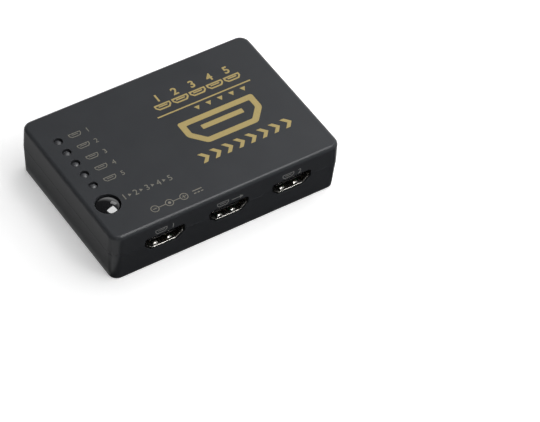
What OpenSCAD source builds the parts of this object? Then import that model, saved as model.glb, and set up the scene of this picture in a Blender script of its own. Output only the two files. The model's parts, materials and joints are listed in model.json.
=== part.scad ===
/* [Housing] */
// Length of the box, left to right
body_l = 90; // [89:0.5:120]
// Depth of the box, front to back
body_w = 62; // [60:0.5:80]
// Height of the box
body_h = 20.5; // [20:0.1:25]
// Radius of the upright corners, seen from above
corner_r = 4; // [3.4:0.1:5]
// Radius of the rounded upper edge
top_edge_r = 1.5; // [0.6:0.1:1.9]
// Radius of the rounded lower edge
bottom_edge_r = 0.5; // [0.2:0.1:1]
// Height of the parting line between the two covers
split_z = 12; // [11.5:0.1:13.2]
// Thickness of the side walls
wall_t = 2; // [1.7:0.1:2.2]
// Thickness of the roof
roof_t = 2; // [1.6:0.1:2.4]
// Thickness of the floor
floor_t = 2; // [1.5:0.1:2.6]
// Draft of the upper cover's sides, in degrees
upper_draft = 1; // [0:0.1:2]
// Draft of the lower cover's sides, in degrees
lower_draft = 3.7; // [0.5:0.1:4]
// Bevel on each side of the parting line
seam_bevel = 0.1; // [0.05:0.01:0.2]
// Height of the tongue that centres the covers on each other
lip_h = 1.2; // [0.8:0.1:1.6]
// Thickness of that tongue
lip_t = 0.8; // [0.6:0.1:1]
// Clearance round that tongue
lip_gap = 0.1; // [0.05:0.01:0.2]

/* [Screws and posts] */
// Inset of the screws from the ends of the box
screw_inset_x = 6.8; // [6.4:0.1:7.4]
// Inset of the screws from the front and back
screw_inset_y = 6.6; // [6.2:0.1:7.2]
// Diameter of the screw shank
screw_d = 2.3; // [2:0.1:2.6]
// Length of the screw below its head
screw_l = 12; // [9:0.5:13]
// Diameter of the screw head
screw_head_d = 4; // [3.6:0.1:4.4]
// Height of the screw head
screw_head_h = 1.5; // [1:0.1:2]
// Height of the head's seat above the underside
screw_seat_z = 3.2; // [2.6:0.1:4]
// Diameter of the posts and bosses round the screws
post_d = 6.2; // [5.8:0.1:6.6]
// Clearance round the shank in the posts and the board
screw_gap = 0.2; // [0.1:0.05:0.3]
// Clearance round the shank in the bosses it is driven into
pilot_gap = 0.05; // [0.03:0.01:0.1]
// Clearance round the screw heads
head_gap = 0.25; // [0.1:0.05:0.4]

/* [Circuit board] */
// Height of the board's upper face
board_top = 9; // [8.6:0.1:9.4]
// Thickness of the board
board_t = 1.6; // [1:0.1:2]
// Gap between the board and the walls
board_gap = 0.5; // [0.3:0.1:0.8]
// Corner radius of the board
board_r = 2; // [1:0.1:3]
// How far legs and leads stand out below the board
leg_out = 0.9; // [0.5:0.1:1.5]
// Clearance of legs and leads in the board
leg_gap = 0.2; // [0.1:0.05:0.25]

/* [Video sockets] */
// Distance of the outer sockets from the ends of the box
socket_inset = 20; // [19.5:0.5:23]
// Width of the opening
open_w = 14; // [13.6:0.1:14.4]
// Height of the opening
open_h = 4.55; // [4.3:0.05:4.8]
// Width of the opening along its floor
open_base_w = 9.3; // [9:0.1:10]
// Height of the opening's upright sides
open_side_h = 2.35; // [2:0.05:2.6]
// Corner radius of the opening
open_corner_r = 0.4; // [0.2:0.1:0.6]
// Thickness of the shell's sheet
sheet_t = 0.3; // [0.2:0.05:0.4]
// How far the flange at the mouth stands out
flange_w = 0.3; // [0.15:0.05:0.4]
// Depth of that flange
flange_t = 0.35; // [0.2:0.05:0.6]
// Depth of the shell
shell_l = 10.9; // [9.5:0.1:12]
// How far the mouth lies behind the box's widest line
socket_recess = 0.35; // [0.25:0.05:0.6]
// Clearance of the wall round the flange
opening_gap = 0.2; // [0.1:0.05:0.3]
// Width of the spring fingers
finger_w = 1.6; // [1.2:0.1:2]
// Spacing of the two spring fingers
finger_pitch = 5.3; // [4:0.1:5.6]
// Distance from the mouth to the finger tips
finger_tip = 0.8; // [0.7:0.1:1.2]
// Length of the fingers
finger_l = 5.6; // [4.5:0.1:6]
// How far the fingers reach into the opening
finger_bump = 0.3; // [0.1:0.05:0.5]
// Radius of the fingers' rounded crests
finger_r = 0.9; // [0.7:0.1:1.1]
// Slit beside each finger
finger_slit = 0.25; // [0.15:0.05:0.35]
// Width of the shell's legs
shell_leg_w = 1.4; // [1:0.1:1.8]
// Distance from the mouth to the front legs
shell_leg_front = 4.8; // [4.4:0.1:5.2]
// Distance from the mouth to the rear legs
shell_leg_rear = 9.2; // [8:0.1:9.3]

/* [Socket tongue and contacts] */
// Width of the tongue
tongue_w = 10.4; // [10:0.1:11]
// Thickness of the tongue
tongue_t = 1.1; // [0.9:0.1:1.3]
// Height of the tongue's middle above the opening's floor
tongue_z = 2.45; // [2.2:0.05:2.6]
// Distance from the mouth to the tip of the tongue
tongue_setback = 1.3; // [0.8:0.1:1.8]
// Thickness of the moulded block that closes the shell
block_t = 3; // [2:0.1:3.4]
// Clearance between that block and the shell
block_gap = 0.05; // [0.02:0.01:0.1]
// Contacts on the upper side of the tongue, with one fewer below
contact_count = 10; // [6:1:10]
// Spacing of the contacts on one side
contact_pitch = 1; // [0.9:0.05:1]
// Width of a contact
contact_w = 0.3; // [0.2:0.05:0.35]
// Thickness of a contact
contact_t = 0.2; // [0.1:0.02:0.3]
// Distance from the tongue's tip to the contacts
contact_setback = 0.5; // [0.3:0.1:1]
// Gap between the block and the contact tails
tail_gap = 0.35; // [0.2:0.05:0.6]
// Length of the contact feet on the board
tail_foot = 0.9; // [0.6:0.1:1.2]

/* [Select button and switch] */
// Distance of the button from the left end of the box
button_inset_x = 7.1; // [6.9:0.1:8]
// Distance of the button from the front of the box
button_inset_y = 15.6; // [15.2:0.1:16.2]
// Diameter of the button
button_d = 8.3; // [7.4:0.1:8.4]
// Clearance round the button in the roof
button_gap = 0.3; // [0.2:0.05:0.45]
// How far the button's crown stands above the roof
button_proud = 0.3; // [0:0.05:0.6]
// Rise of the button's crown
button_rise = 1.1; // [0.6:0.1:1.6]
// Span of the two ears that keep the button in
ear_span = 10.8; // [10.4:0.1:11]
// Thickness of the ears
ear_t = 1; // [0.7:0.1:1.4]
// Gap between the ears and the roof
ear_gap = 0.15; // [0.1:0.05:0.3]
// Diameter of the hub below the button
hub_d = 5.6; // [5:0.1:6.4]
// How far the switch stem reaches into the hub
stem_engage = 2; // [1:0.1:2.4]
// Diameter of the switch's stem
stem_d = 3.5; // [3:0.1:3.6]
// Clearance round the stem
stem_gap = 0.1; // [0.05:0.01:0.15]
// Width of the key switch
switch_w = 6; // [5.8:0.1:6.4]
// Height of the key switch without its plate
switch_h = 3.4; // [3:0.1:3.8]
// Thickness of the switch's base under the snap dome
switch_floor = 1; // [0.8:0.1:1.2]
// Thickness of the switch's cover plate
plate_t = 0.3; // [0.2:0.05:0.4]
// Travel of the button
press_travel = 0.3; // [0.2:0.05:0.35]
// Diameter of the snap dome
dome_d = 4.2; // [4:0.1:4.4]
// Rise of the snap dome
dome_rise = 0.6; // [0.5:0.05:0.8]
// Thickness of the snap dome's sheet
dome_t = 0.1; // [0.06:0.01:0.15]

/* [Indicator lamps] */
// Distance of the lamps from the left end of the box
led_inset_x = 7.25; // [6.5:0.05:8]
// Distance of the rearmost lamp from the back of the box
led_inset_y = 13.7; // [13:0.1:14.5]
// Distance of the foremost lamp from the middle of the button
led_to_button = 9.7; // [8.5:0.1:11.5]
// Diameter of a lamp
led_d = 3; // [2.6:0.1:3.4]
// Clearance round a lamp in the roof
led_gap = 0.1; // [0.05:0.05:0.3]
// Height of a lamp's lens
led_l = 5.3; // [4.5:0.1:6]
// How far a lamp's crown lies below the roof
led_recess = 0.3; // [0:0.05:0.8]
// Width of the rim at a lamp's foot
led_rim_w = 0.4; // [0.2:0.1:0.6]
// Height of that rim
led_rim_h = 1; // [0.6:0.1:1.4]
// Width of a lamp's leads
lead_w = 0.5; // [0.4:0.05:0.6]
// Spacing of a lamp's leads
lead_pitch = 2.54; // [2:0.02:2.6]

/* [Jacks] */
// Distance of each jack from the middle of the right side
jack_y = 9; // [7:0.1:11]
// Height of the jacks' axes above the board
jack_axis = 3; // [2.8:0.1:3.2]
// How far the jacks lie behind the box's widest line
jack_recess = 0.4; // [0.3:0.05:0.6]
// Width of a jack's body
jack_w = 6.2; // [5.8:0.1:6.6]
// Width of the square nose in the wall
nose_w = 6; // [5.6:0.1:6]
// Corner radius of the nose
nose_r = 1; // [0.5:0.1:1.5]
// Length of the nose
nose_l = 2.4; // [2.2:0.1:2.8]
// Clearance of the wall round the nose
nose_gap = 0.3; // [0.15:0.05:0.5]
// Length of the power jack
dc_l = 11; // [10.5:0.1:12.5]
// Bore of the power jack
dc_bore_d = 4.2; // [4:0.1:4.4]
// Diameter of the power jack's centre pin
dc_pin_d = 1.3; // [1.1:0.05:1.4]
// Length of the remote-eye jack
ir_l = 12.6; // [12:0.1:14]
// Bore of the remote-eye jack
ir_bore_d = 3.6; // [3.54:0.01:3.7]
// Wall of the metal bush in its mouth
bush_t = 0.7; // [0.5:0.05:0.8]
// Length of that bush
bush_l = 4; // [3.6:0.1:4.4]
// Thickness of the rear wall of both jacks
jack_rear_t = 1.5; // [1:0.1:2]
// Thickness of the contact springs
spring_t = 0.25; // [0.15:0.05:0.3]
// Height of the contact springs
spring_h = 1.6; // [1.2:0.1:1.8]

/* [Parts on the board] */
// Place of the switching chip
switch_chip_at = [2, 0]; // [-8:0.5:8]
// Width of the switching chip
switch_chip_w = 10; // [9:0.5:11]
// Leads on each side of the switching chip
switch_chip_leads = 16; // [8:1:16]
// Spacing of those leads
switch_chip_pitch = 0.5; // [0.4:0.05:0.55]
// Place of the controller chip
controller_at = [-19, 0]; // [-22:0.5:22]
// Length of the controller chip
controller_l = 9.9; // [9:0.1:11]
// Width of the controller chip
controller_w = 3.9; // [3.5:0.1:4.2]
// Leads on each side of the controller chip
controller_leads = 8; // [4:1:8]
// Spacing of those leads
controller_pitch = 1.27; // [1:0.01:1.27]
// Height of the chips
chip_h = 1.5; // [1.2:0.1:1.8]
// Gap between the chips and the board
chip_lift = 0.1; // [0.05:0.05:0.2]
// Distance of the voltage regulator from the right side
regulator_inset = 21.5; // [21:0.5:69]
// Place of the voltage regulator along the width
regulator_y = -8; // [-24:0.5:24]
// Place of the crystal
crystal_at = [-20, 11]; // [-22:0.5:22]
// Length of the crystal's can
crystal_l = 11; // [9:0.1:11.5]
// Width of the crystal's can
crystal_w = 4.6; // [4:0.1:4.8]
// Height of the crystal's can
crystal_h = 3.4; // [3:0.1:4]
// Distance of the first filter capacitor from the right side
filter_inset = 16; // [16:0.5:74]
// Place of the first filter capacitor along the width
filter_y = 0; // [-29:0.5:29]
// Spacing of the two filter capacitors
filter_step = [-8, 7]; // [-10:0.5:10]
// Diameter of the filter capacitors
filter_d = 4; // [3.5:0.1:4.4]
// Height of the filter capacitors
filter_h = 5.4; // [4.5:0.1:6]
// Length of a chip capacitor or resistor
chip_part_l = 1.6; // [1:0.1:2]
// Width of a chip capacitor or resistor
chip_part_w = 0.8; // [0.5:0.1:1]

/* [Hidden] */
$fn = 48;
cut = 1;              // how far cutting shapes run past the solids
fillet_steps = 8;     // chords in a quarter of a rounded edge
corner_steps = 4;     // chords in a corner of a socket's outline
lamp_steps = 10;      // chords in the crown of a lamp or of the button

// Housing: radii run outwards from the upright axis of each corner
core_l = body_l - 2 * corner_r;
core_w = body_w - 2 * corner_r;
roof_z = body_h - roof_t;
inner_r = corner_r - wall_t;
lip_r = inner_r + lip_t;
upper_taper = tan(upper_draft);
lower_taper = tan(lower_draft);
top_arc_r = corner_r - upper_taper * (body_h - top_edge_r - split_z) - top_edge_r / cos(upper_draft);
low_arc_r = corner_r - lower_taper * (split_z - bottom_edge_r) - bottom_edge_r / cos(lower_draft);
lip_top = split_z + lip_h;

// Board and posts
board_bottom = board_top - board_t;
board_inset = wall_t + lower_taper * (split_z - board_bottom) + board_gap;
board_l = body_l - 2 * board_inset;
board_w = body_w - 2 * board_inset;
screw_x = body_l / 2 - screw_inset_x;
screw_y = body_w / 2 - screw_inset_y;
pilot_end = screw_seat_z + screw_l + cut;
leg_end = -(board_t + leg_out);
cross_l = 2.4;        // arms of the cross recess in a screw head
cross_w = 0.56;
cross_depth = 0.9;

// Sockets: name, place along the wall in pitches, 0 for the front wall or 180 for the back
SOCKETS = [
    ["input_1", -1, 0], ["output", 0, 0], ["input_2", 1, 0],
    ["input_3", -1, 180], ["input_4", 0, 180], ["input_5", 1, 180]
];
socket_pitch = body_l / 2 - socket_inset;
slope_w = (open_w - open_base_w) / 2;
slope_h = open_h - open_side_h;
slope_l = norm([slope_w, slope_h]);
flange_out = sheet_t + flange_w;
shell_half_w = open_w / 2 + sheet_t;
side_z = sheet_t + slope_h;
tongue_mid = sheet_t + tongue_z;
block_front = shell_l - block_t;
tail_y = shell_l + tail_gap;
tip_angle = 40;       // slope of a finger's upturned tip

// Button and switch
button_x = -body_l / 2 + button_inset_x;
button_y = -body_w / 2 + button_inset_y;
button_hole_d = button_d + 2 * button_gap;
crown_z = body_h + button_proud;
crown_r = (pow(button_d / 2, 2) + pow(button_rise, 2)) / (2 * button_rise);
crown_angle = asin(button_d / 2 / crown_r);
ear_top = roof_z - ear_gap;
ear_bottom = ear_top - ear_t;
stem_room = 0.5;      // thickness of the button over the stem's end, below the ears
stem_top = ear_bottom - stem_room;
hub_bottom = stem_top - stem_engage;
well_d = dome_d + 2 * stem_gap;
dome_z = board_top + switch_floor;
plate_z = board_top + switch_h;
collar_d = dome_d - 2 * stem_gap;
collar_top = plate_z - stem_gap / 2;
nub_d = dome_d / 3;
nub_gap = 0.05;       // room between the dome's crown and the plunger at rest
nub_bottom = dome_z + dome_rise + dome_t + nub_gap;
collar_bottom = nub_bottom + press_travel + dome_t;
dome_r = (pow(dome_d / 2, 2) + pow(dome_rise, 2)) / (2 * dome_rise);
dome_angle = asin(dome_d / 2 / dome_r);
switch_leg_x = switch_w / 2;
switch_leg_y = 2.25;
switch_leg_w = 0.7;
switch_leg_t = 0.3;
switch_r = 0.5;

// Lamps
led_x = -body_l / 2 + led_inset_x;
led_first_y = body_w / 2 - led_inset_y;
led_count = 5;
led_pitch = (led_first_y - led_to_button - button_y) / (led_count - 1);
led_top = body_h - led_recess;
led_foot = led_top - led_l;
LAMPS = [for (i = [0:led_count - 1]) [led_x, led_first_y - i * led_pitch]];

// Jacks
jack_x = body_l / 2 - jack_recess;
jack_h = 2 * jack_axis;
dc_depth = dc_l - jack_rear_t;
ir_depth = ir_l - jack_rear_t;
spring_bend = 0.35;
spring_room = 0.15;
ir_inner_d = ir_bore_d + 2 * spring_room;
bush_d = ir_bore_d + 2 * bush_t;
bush_gap = 0.05;
pin_gap = 0.05;
pin_root_t = 0.3;
pin_root_d = dc_pin_d + 2 * pin_root_t;
pin_setback = 1.2;
spring_end = 1;       // from the end of a spring to the rear wall
dc_spring_y = 3.4;
dc_spring_l = dc_depth - dc_spring_y - spring_end;
bush_to_spring = 0.8;
ir_spring_y = bush_l + bush_to_spring;
ir_spring_l = ir_depth - ir_spring_y - spring_end;
terminal_w = 2.2;
terminal_t = 0.3;
nose_to_leg = 0.6;
bush_leg_y = nose_l + nose_to_leg;

// Small parts
gull_t = 0.15;
gull_reach = 0.35;
gull_foot = 0.9;
gull_w = 0.25;
regulator_size = [6.5, 3.5, 1.6];
regulator_pitch = 2.3;
regulator_lead_w = 0.7;
regulator_tab_w = 3;
crystal_foot = 0.4;
crystal_r = 2.07;
regulator_at = [body_l / 2 - regulator_inset, regulator_y];
filter_at = [body_l / 2 - filter_inset, filter_y];
filter_base_h = 0.9;
filter_base_rim = 0.15;
filter_base_w = filter_d + 2 * filter_base_rim;
chip_cap_h = 0.8;
chip_resistor_h = 0.45;
surge_size = [2.5, 1, 0.55];
surge_step = 2.6;
surge_gap = 0.9;
ring_step = 3.2;
ring_gap = 2.4;
ring_reach = switch_chip_w / 2 + gull_reach + gull_foot + ring_gap;
resistor_row_y = -10.5;
resistor_step = 2;
resistor_count = 8;
lamp_resistor_shift = 5.8;

// Points along an arc about c, from angle a to angle b
function arc(c, r, a, b, n) =
    [for (i = [0:n]) let (t = a + (b - a) * i / n) c + r * [cos(t), sin(t)]];

// Rounded corner of a convex outline that runs anticlockwise
function corner_arc(before, at, after, r, n) =
    let (u = (before - at) / norm(before - at), v = (after - at) / norm(after - at))
    let (half = acos(u * v) / 2, c = at + (u + v) / norm(u + v) * r / sin(half))
    let (start = at + u * r / tan(half) - c, a = atan2(start[1], start[0]))
    arc(c, r, a, a + 180 - 2 * half, n);

function rounded(p, r, n) = [for (i = [0:len(p) - 1])
    each corner_arc(p[(i + len(p) - 1) % len(p)], p[i], p[(i + 1) % len(p)], r, n)];

// Corners of a rectangle about the origin, anticlockwise
function corners(l, w) = [[-l / 2, -w / 2], [l / 2, -w / 2], [l / 2, w / 2], [-l / 2, w / 2]];

// Socket outline, grown outwards by d from the opening, with its floor on the sheet
function socket_outline(d) =
    let (base = open_base_w / 2 + d * (slope_l - slope_w) / slope_h, side = open_w / 2 + d)
    let (shoulder = side_z - d * (slope_l - slope_h) / slope_w)
    let (low = sheet_t - d, high = sheet_t + open_h + d)
    rounded([[-base, low], [base, low], [side, shoulder], [side, high], [-side, high], [-side, shoulder]],
            open_corner_r + d, corner_steps);

// Strip that runs level at height z, drops behind y1 and ends in a foot at y2
function bent_strip(y0, y1, y2, z, t) =
    [[y0, z], [y1, z], [y1, 0], [y2, 0], [y2, t], [y1 + t, t], [y1 + t, z + t], [y0, z + t]];

// Prism of an outline in X and Z, from y0 to y1
module prism_y(y0, y1) {
    translate([0, y1, 0]) rotate([90, 0, 0]) linear_extrude(y1 - y0) children();
}

// Prism of an outline in Y and Z, centred on x
module prism_x(x, w) {
    translate([x - w / 2, 0, 0]) rotate([90, 0, 90]) linear_extrude(w) children();
}

module box(low, high) {
    translate(low) cube(high - low);
}

module bar_y(x, z, d, y0, y1) {
    translate([x, y1, z]) rotate([90, 0, 0]) cylinder(d = d, h = y1 - y0);
}

// Solid whose sides follow a profile all round the housing's plan
module plan_sweep(profile) {
    low = min([for (p = profile) p[1]]);
    high = max([for (p = profile) p[1]]);
    box([-core_l / 2, -core_w / 2, low], [core_l / 2, core_w / 2, high]);
    for (a = [0, 180]) {
        rotate(a) translate([0, core_w / 2, 0]) prism_x(0, core_l) polygon(profile);
        rotate(a - 90) translate([0, core_l / 2, 0]) prism_x(0, core_w) polygon(profile);
    }
    for (x = [-1, 1], y = [-1, 1])
        translate([x * core_l / 2, y * core_w / 2, 0])
            rotate(atan2(y, x) - 45) rotate_extrude(angle = 90) polygon(profile);
}

module at_screws() {
    for (x = [-1, 1], y = [-1, 1]) translate([x * screw_x, y * screw_y, 0]) children();
}

// Children stand with the mouth at y = 0, the depth along +Y and the board at z = 0
module at_socket(s) {
    translate([s[1] * socket_pitch, 0, board_top]) rotate(s[2])
        translate([0, socket_recess - body_w / 2, 0]) children();
}

module at_sockets() {
    for (s = SOCKETS) at_socket(s) children();
}

module at_jack(side) {
    translate([jack_x, side * jack_y, board_top]) rotate(90) children();
}

module wall_openings() {
    at_sockets() prism_y(-cut, wall_t + cut) polygon(socket_outline(flange_out + opening_gap));
    for (side = [-1, 1]) at_jack(side) jack_nose(nose_gap, -cut, wall_t + cut);
}

module top_shell() {
    difference() {
        plan_sweep(concat(
            [[0, split_z], [corner_r - seam_bevel, split_z],
             [corner_r - upper_taper * seam_bevel, split_z + seam_bevel]],
            arc([top_arc_r, body_h - top_edge_r], top_edge_r, upper_draft, 90, fillet_steps),
            [[0, body_h]]));
        plan_sweep([[0, split_z - cut], [inner_r, split_z - cut], [inner_r, split_z],
            [inner_r - upper_taper * (roof_z - split_z), roof_z], [0, roof_z]]);
        plan_sweep([[0, split_z - cut], [lip_r + lip_gap, split_z - cut],
            [lip_r + lip_gap, lip_top + lip_gap], [0, lip_top + lip_gap]]);
    }
}

module top_cover() {
    color([0.24, 0.24, 0.25]) difference() {
        union() {
            top_shell();
            at_screws() translate([0, 0, board_top]) cylinder(d = post_d, h = roof_z - board_top);
        }
        wall_openings();
        at_screws() translate([0, 0, board_top - cut])
            cylinder(d = screw_d + 2 * pilot_gap, h = pilot_end - board_top + cut);
        for (p = LAMPS) translate([p[0], p[1], roof_z - cut])
            cylinder(d = led_d + 2 * led_gap, h = roof_t + 2 * cut);
        translate([button_x, button_y, roof_z - cut]) cylinder(d = button_hole_d, h = roof_t + 2 * cut);
    }
}

module bottom_shell() {
    difference() {
        union() {
            plan_sweep(concat([[0, 0]],
                arc([low_arc_r, bottom_edge_r], bottom_edge_r, -90, -lower_draft, fillet_steps),
                [[corner_r - lower_taper * seam_bevel, split_z - seam_bevel],
                 [corner_r - seam_bevel, split_z], [0, split_z]]));
            plan_sweep([[0, split_z - cut], [lip_r, split_z - cut], [lip_r, lip_top], [0, lip_top]]);
        }
        plan_sweep([[0, floor_t], [inner_r - lower_taper * (split_z - floor_t), floor_t],
            [inner_r, split_z], [inner_r, lip_top + cut], [0, lip_top + cut]]);
    }
}

module bottom_cover() {
    color([0.22, 0.22, 0.23]) difference() {
        union() {
            bottom_shell();
            at_screws() translate([0, 0, floor_t]) cylinder(d = post_d, h = board_bottom - floor_t);
        }
        wall_openings();
        at_screws() {
            translate([0, 0, -cut]) cylinder(d = screw_head_d + 2 * head_gap, h = screw_seat_z + cut);
            translate([0, 0, -cut]) cylinder(d = screw_d + 2 * screw_gap, h = board_bottom + 2 * cut);
        }
    }
}

module main_board() {
    color([0.1, 0.32, 0.2]) difference() {
        translate([0, 0, board_bottom]) linear_extrude(board_t)
            polygon(rounded(corners(board_l, board_w), board_r, fillet_steps));
        at_screws() through(screw_d + 2 * screw_gap);
        for (p = LAMPS, x = [-1, 1]) translate([p[0] + x * lead_pitch / 2, p[1], 0])
            through(lead_w * sqrt(2) + leg_gap);
        for (x = [-1, 1], y = [-1, 1])
            translate([button_x + x * (switch_leg_x + switch_leg_t / 2), button_y + y * switch_leg_y, 0])
                through(norm([switch_leg_t, switch_leg_w]) + leg_gap);
        at_sockets() shell_legs(leg_gap, cut);
        at_jack(-1) {
            jack_terminal(dc_l, leg_gap, cut);
            spring_leg(dc_spring_y, dc_spring_l, dc_bore_d, leg_gap, cut);
        }
        at_jack(1) {
            bush_leg(leg_gap, cut);
            for (side = [0, 1]) mirror([side, 0, 0])
                spring_leg(ir_spring_y, ir_spring_l, ir_inner_d, leg_gap, cut);
        }
    }
}

module through(d) {
    translate([0, 0, board_bottom - cut]) cylinder(d = d, h = board_t + 2 * cut);
}

module housing_screws() {
    head_low = screw_seat_z - screw_head_h;
    head_r = screw_head_h / 2;
    color([0.55, 0.55, 0.56]) at_screws() difference() {
        rotate_extrude() polygon(concat([[0, head_low]],
            arc([screw_head_d / 2 - head_r, head_low + head_r], head_r, -90, 0, corner_steps),
            [[screw_head_d / 2, screw_seat_z], [screw_d / 2, screw_seat_z],
             [screw_d / 2, screw_seat_z + screw_l - screw_d / 2], [0, screw_seat_z + screw_l]]));
        for (a = [0, 90]) rotate(a)
            box([-cross_l / 2, -cross_w / 2, head_low - cut],
                [cross_l / 2, cross_w / 2, head_low + cross_depth]);
    }
}

module select_button() {
    color([0.05, 0.05, 0.06]) translate([button_x, button_y, 0]) difference() {
        union() {
            rotate_extrude() polygon(concat([[0, ear_bottom], [button_d / 2, ear_bottom]],
                arc([0, crown_z - crown_r], crown_r, 90 - crown_angle, 90, lamp_steps)));
            intersection() {
                translate([0, 0, ear_bottom]) cylinder(d = ear_span, h = ear_t);
                box([-button_d / 2, -ear_span, ear_bottom - cut], [button_d / 2, ear_span, ear_top + cut]);
            }
            translate([0, 0, hub_bottom]) cylinder(d = hub_d, h = ear_bottom - hub_bottom);
        }
        translate([0, 0, hub_bottom - cut]) cylinder(d = stem_d + 2 * stem_gap, h = stem_engage + cut);
    }
}

module switch_plunger() {
    color([0.85, 0.84, 0.8]) translate([button_x, button_y, 0]) {
        translate([0, 0, nub_bottom]) cylinder(d = nub_d, h = collar_bottom - nub_bottom);
        translate([0, 0, collar_bottom]) cylinder(d = collar_d, h = collar_top - collar_bottom);
        translate([0, 0, collar_top]) cylinder(d = stem_d, h = stem_top - collar_top);
    }
}

module switch_base() {
    color([0.1, 0.1, 0.1]) translate([button_x, button_y, board_top]) difference() {
        linear_extrude(switch_h) polygon(rounded(corners(switch_w, switch_w), switch_r, 1));
        translate([0, 0, switch_floor]) cylinder(d = well_d, h = switch_h);
    }
}

module switch_plate() {
    color([0.75, 0.75, 0.76]) translate([button_x, button_y, plate_z]) difference() {
        linear_extrude(plate_t) polygon(rounded(corners(switch_w, switch_w), switch_r, 1));
        translate([0, 0, -cut]) cylinder(d = stem_d + 2 * stem_gap, h = plate_t + 2 * cut);
    }
}

module switch_dome() {
    color([0.8, 0.75, 0.6]) translate([button_x, button_y, dome_z + dome_rise - dome_r])
        rotate_extrude() polygon(concat(
            arc([0, 0], dome_r + dome_t, 90 - dome_angle, 90, lamp_steps),
            arc([0, 0], dome_r, 90, 90 - dome_angle, lamp_steps)));
}

module switch_legs() {
    color([0.75, 0.75, 0.76]) translate([button_x, button_y, board_top])
        for (x = [0, 1], y = [-1, 1]) mirror([x, 0, 0])
            box([switch_leg_x, y * switch_leg_y - switch_leg_w / 2, leg_end],
                [switch_leg_x + switch_leg_t, y * switch_leg_y + switch_leg_w / 2, switch_h / 2]);
}

// Legs of a socket's shell, grown by gap for the slots in the board and run past it by extra
module shell_legs(gap, extra) {
    for (x = [0, 1], y = [shell_leg_front, shell_leg_rear]) mirror([x, 0, 0])
        box([shell_half_w - sheet_t - gap, y - shell_leg_w / 2 - gap, leg_end - extra],
            [shell_half_w + gap, y + shell_leg_w / 2 + gap, side_z + sheet_t]);
}

// Side view of a finger on the floor of the opening: it climbs from its root, rolls over at its crest and
// ends in a tip that dips towards the mouth
module finger_side() {
    root = finger_tip + finger_l;
    inner = finger_r - sheet_t;
    crest = [finger_tip + finger_r * sin(tip_angle), sheet_t + finger_bump - finger_r];
    polygon(concat(
        [[root, 0], [root, sheet_t]],
        arc(crest, finger_r, 90, 90 + tip_angle, corner_steps),
        arc(crest, inner, 90 + tip_angle, 90, corner_steps)));
}

module finger_pair() {
    for (x = [-1, 1]) prism_x(x * finger_pitch / 2, finger_w) finger_side();
}

module finger_windows() {
    for (x = [-1, 1])
        box([x * finger_pitch / 2 - finger_w / 2 - finger_slit, finger_tip - finger_slit, -cut],
            [x * finger_pitch / 2 + finger_w / 2 + finger_slit, finger_tip + finger_l, sheet_t + cut / 2]);
}

// Places children on the floor of a socket and, turned over, under its top
module floor_and_top() {
    children();
    translate([0, 0, 2 * sheet_t + open_h]) mirror([0, 0, 1]) children();
}

module socket_shell() {
    color([0.72, 0.72, 0.7]) {
        difference() {
            union() {
                prism_y(0, shell_l) polygon(socket_outline(sheet_t));
                prism_y(0, flange_t) polygon(socket_outline(flange_out));
                shell_legs(0, 0);
            }
            prism_y(-cut, shell_l + cut) polygon(socket_outline(0));
            floor_and_top() finger_windows();
        }
        floor_and_top() finger_pair();
    }
}

module socket_tongue() {
    color([0.06, 0.06, 0.06]) difference() {
        union() {
            prism_y(block_front, shell_l) polygon(socket_outline(-block_gap));
            box([-tongue_w / 2, tongue_setback, tongue_mid - tongue_t / 2],
                [tongue_w / 2, block_front, tongue_mid + tongue_t / 2]);
        }
        contact_rows();
    }
}

module contact_row(count, z) {
    for (i = [0:count - 1])
        prism_x((i - (count - 1) / 2) * contact_pitch, contact_w)
            polygon(bent_strip(tongue_setback + contact_setback, tail_y, tail_y + tail_foot, z, contact_t));
}

module contact_rows() {
    contact_row(contact_count, tongue_mid + tongue_t / 2 - contact_t / 2);
    contact_row(contact_count - 1, tongue_mid - tongue_t / 2 - contact_t / 2);
}

module socket_contacts() {
    color([0.83, 0.66, 0.3]) contact_rows();
}

module lamp(p) {
    color([0.42, 0.42, 0.43]) translate([p[0], p[1], 0]) rotate_extrude() polygon(concat(
        [[0, led_foot], [led_d / 2 + led_rim_w, led_foot], [led_d / 2 + led_rim_w, led_foot + led_rim_h],
         [led_d / 2, led_foot + led_rim_h]],
        arc([0, led_top - led_d / 2], led_d / 2, 0, 90, lamp_steps)));
}

module lamp_leads() {
    color([0.75, 0.75, 0.76]) for (p = LAMPS, x = [-1, 1])
        translate([p[0] + x * lead_pitch / 2 - lead_w / 2, p[1] - lead_w / 2, board_top + leg_end])
            cube([lead_w, lead_w, led_foot - board_top - leg_end]);
}

// Nose of a jack, grown by gap for its window in the wall
module jack_nose(gap, y0, y1) {
    side = nose_w + 2 * gap;
    translate([0, 0, jack_axis]) prism_y(y0, y1)
        polygon(rounded(corners(side, side), nose_r + gap, corner_steps));
}

// Block and nose that both jacks share
module jack_block(l) {
    box([-jack_w / 2, nose_l, 0], [jack_w / 2, l, jack_h]);
    jack_nose(0, 0, nose_l);
}

module jack_terminal(y, gap, extra) {
    box([-terminal_w / 2 - gap, y - gap, leg_end - extra],
        [terminal_w / 2 + gap, y + terminal_t + gap, jack_axis + dc_pin_d]);
}

module spring_leg(y, l, bore, gap, extra) {
    out = bore / 2 + spring_bend;
    box([out - spring_t - gap, y + l - terminal_w / 2 - gap, leg_end - extra],
        [out + gap, y + l + gap, jack_axis]);
}

// Pocket beside a bore for a contact spring and its leg
module spring_pocket(y, l, bore) {
    out = bore / 2 + spring_bend;
    box([0, y - spring_room, jack_axis - spring_h / 2 - spring_room],
        [out + spring_room, y + l + spring_room, jack_axis + spring_h / 2 + spring_room]);
    spring_leg(y, l, bore, spring_room, cut);
}

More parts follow.
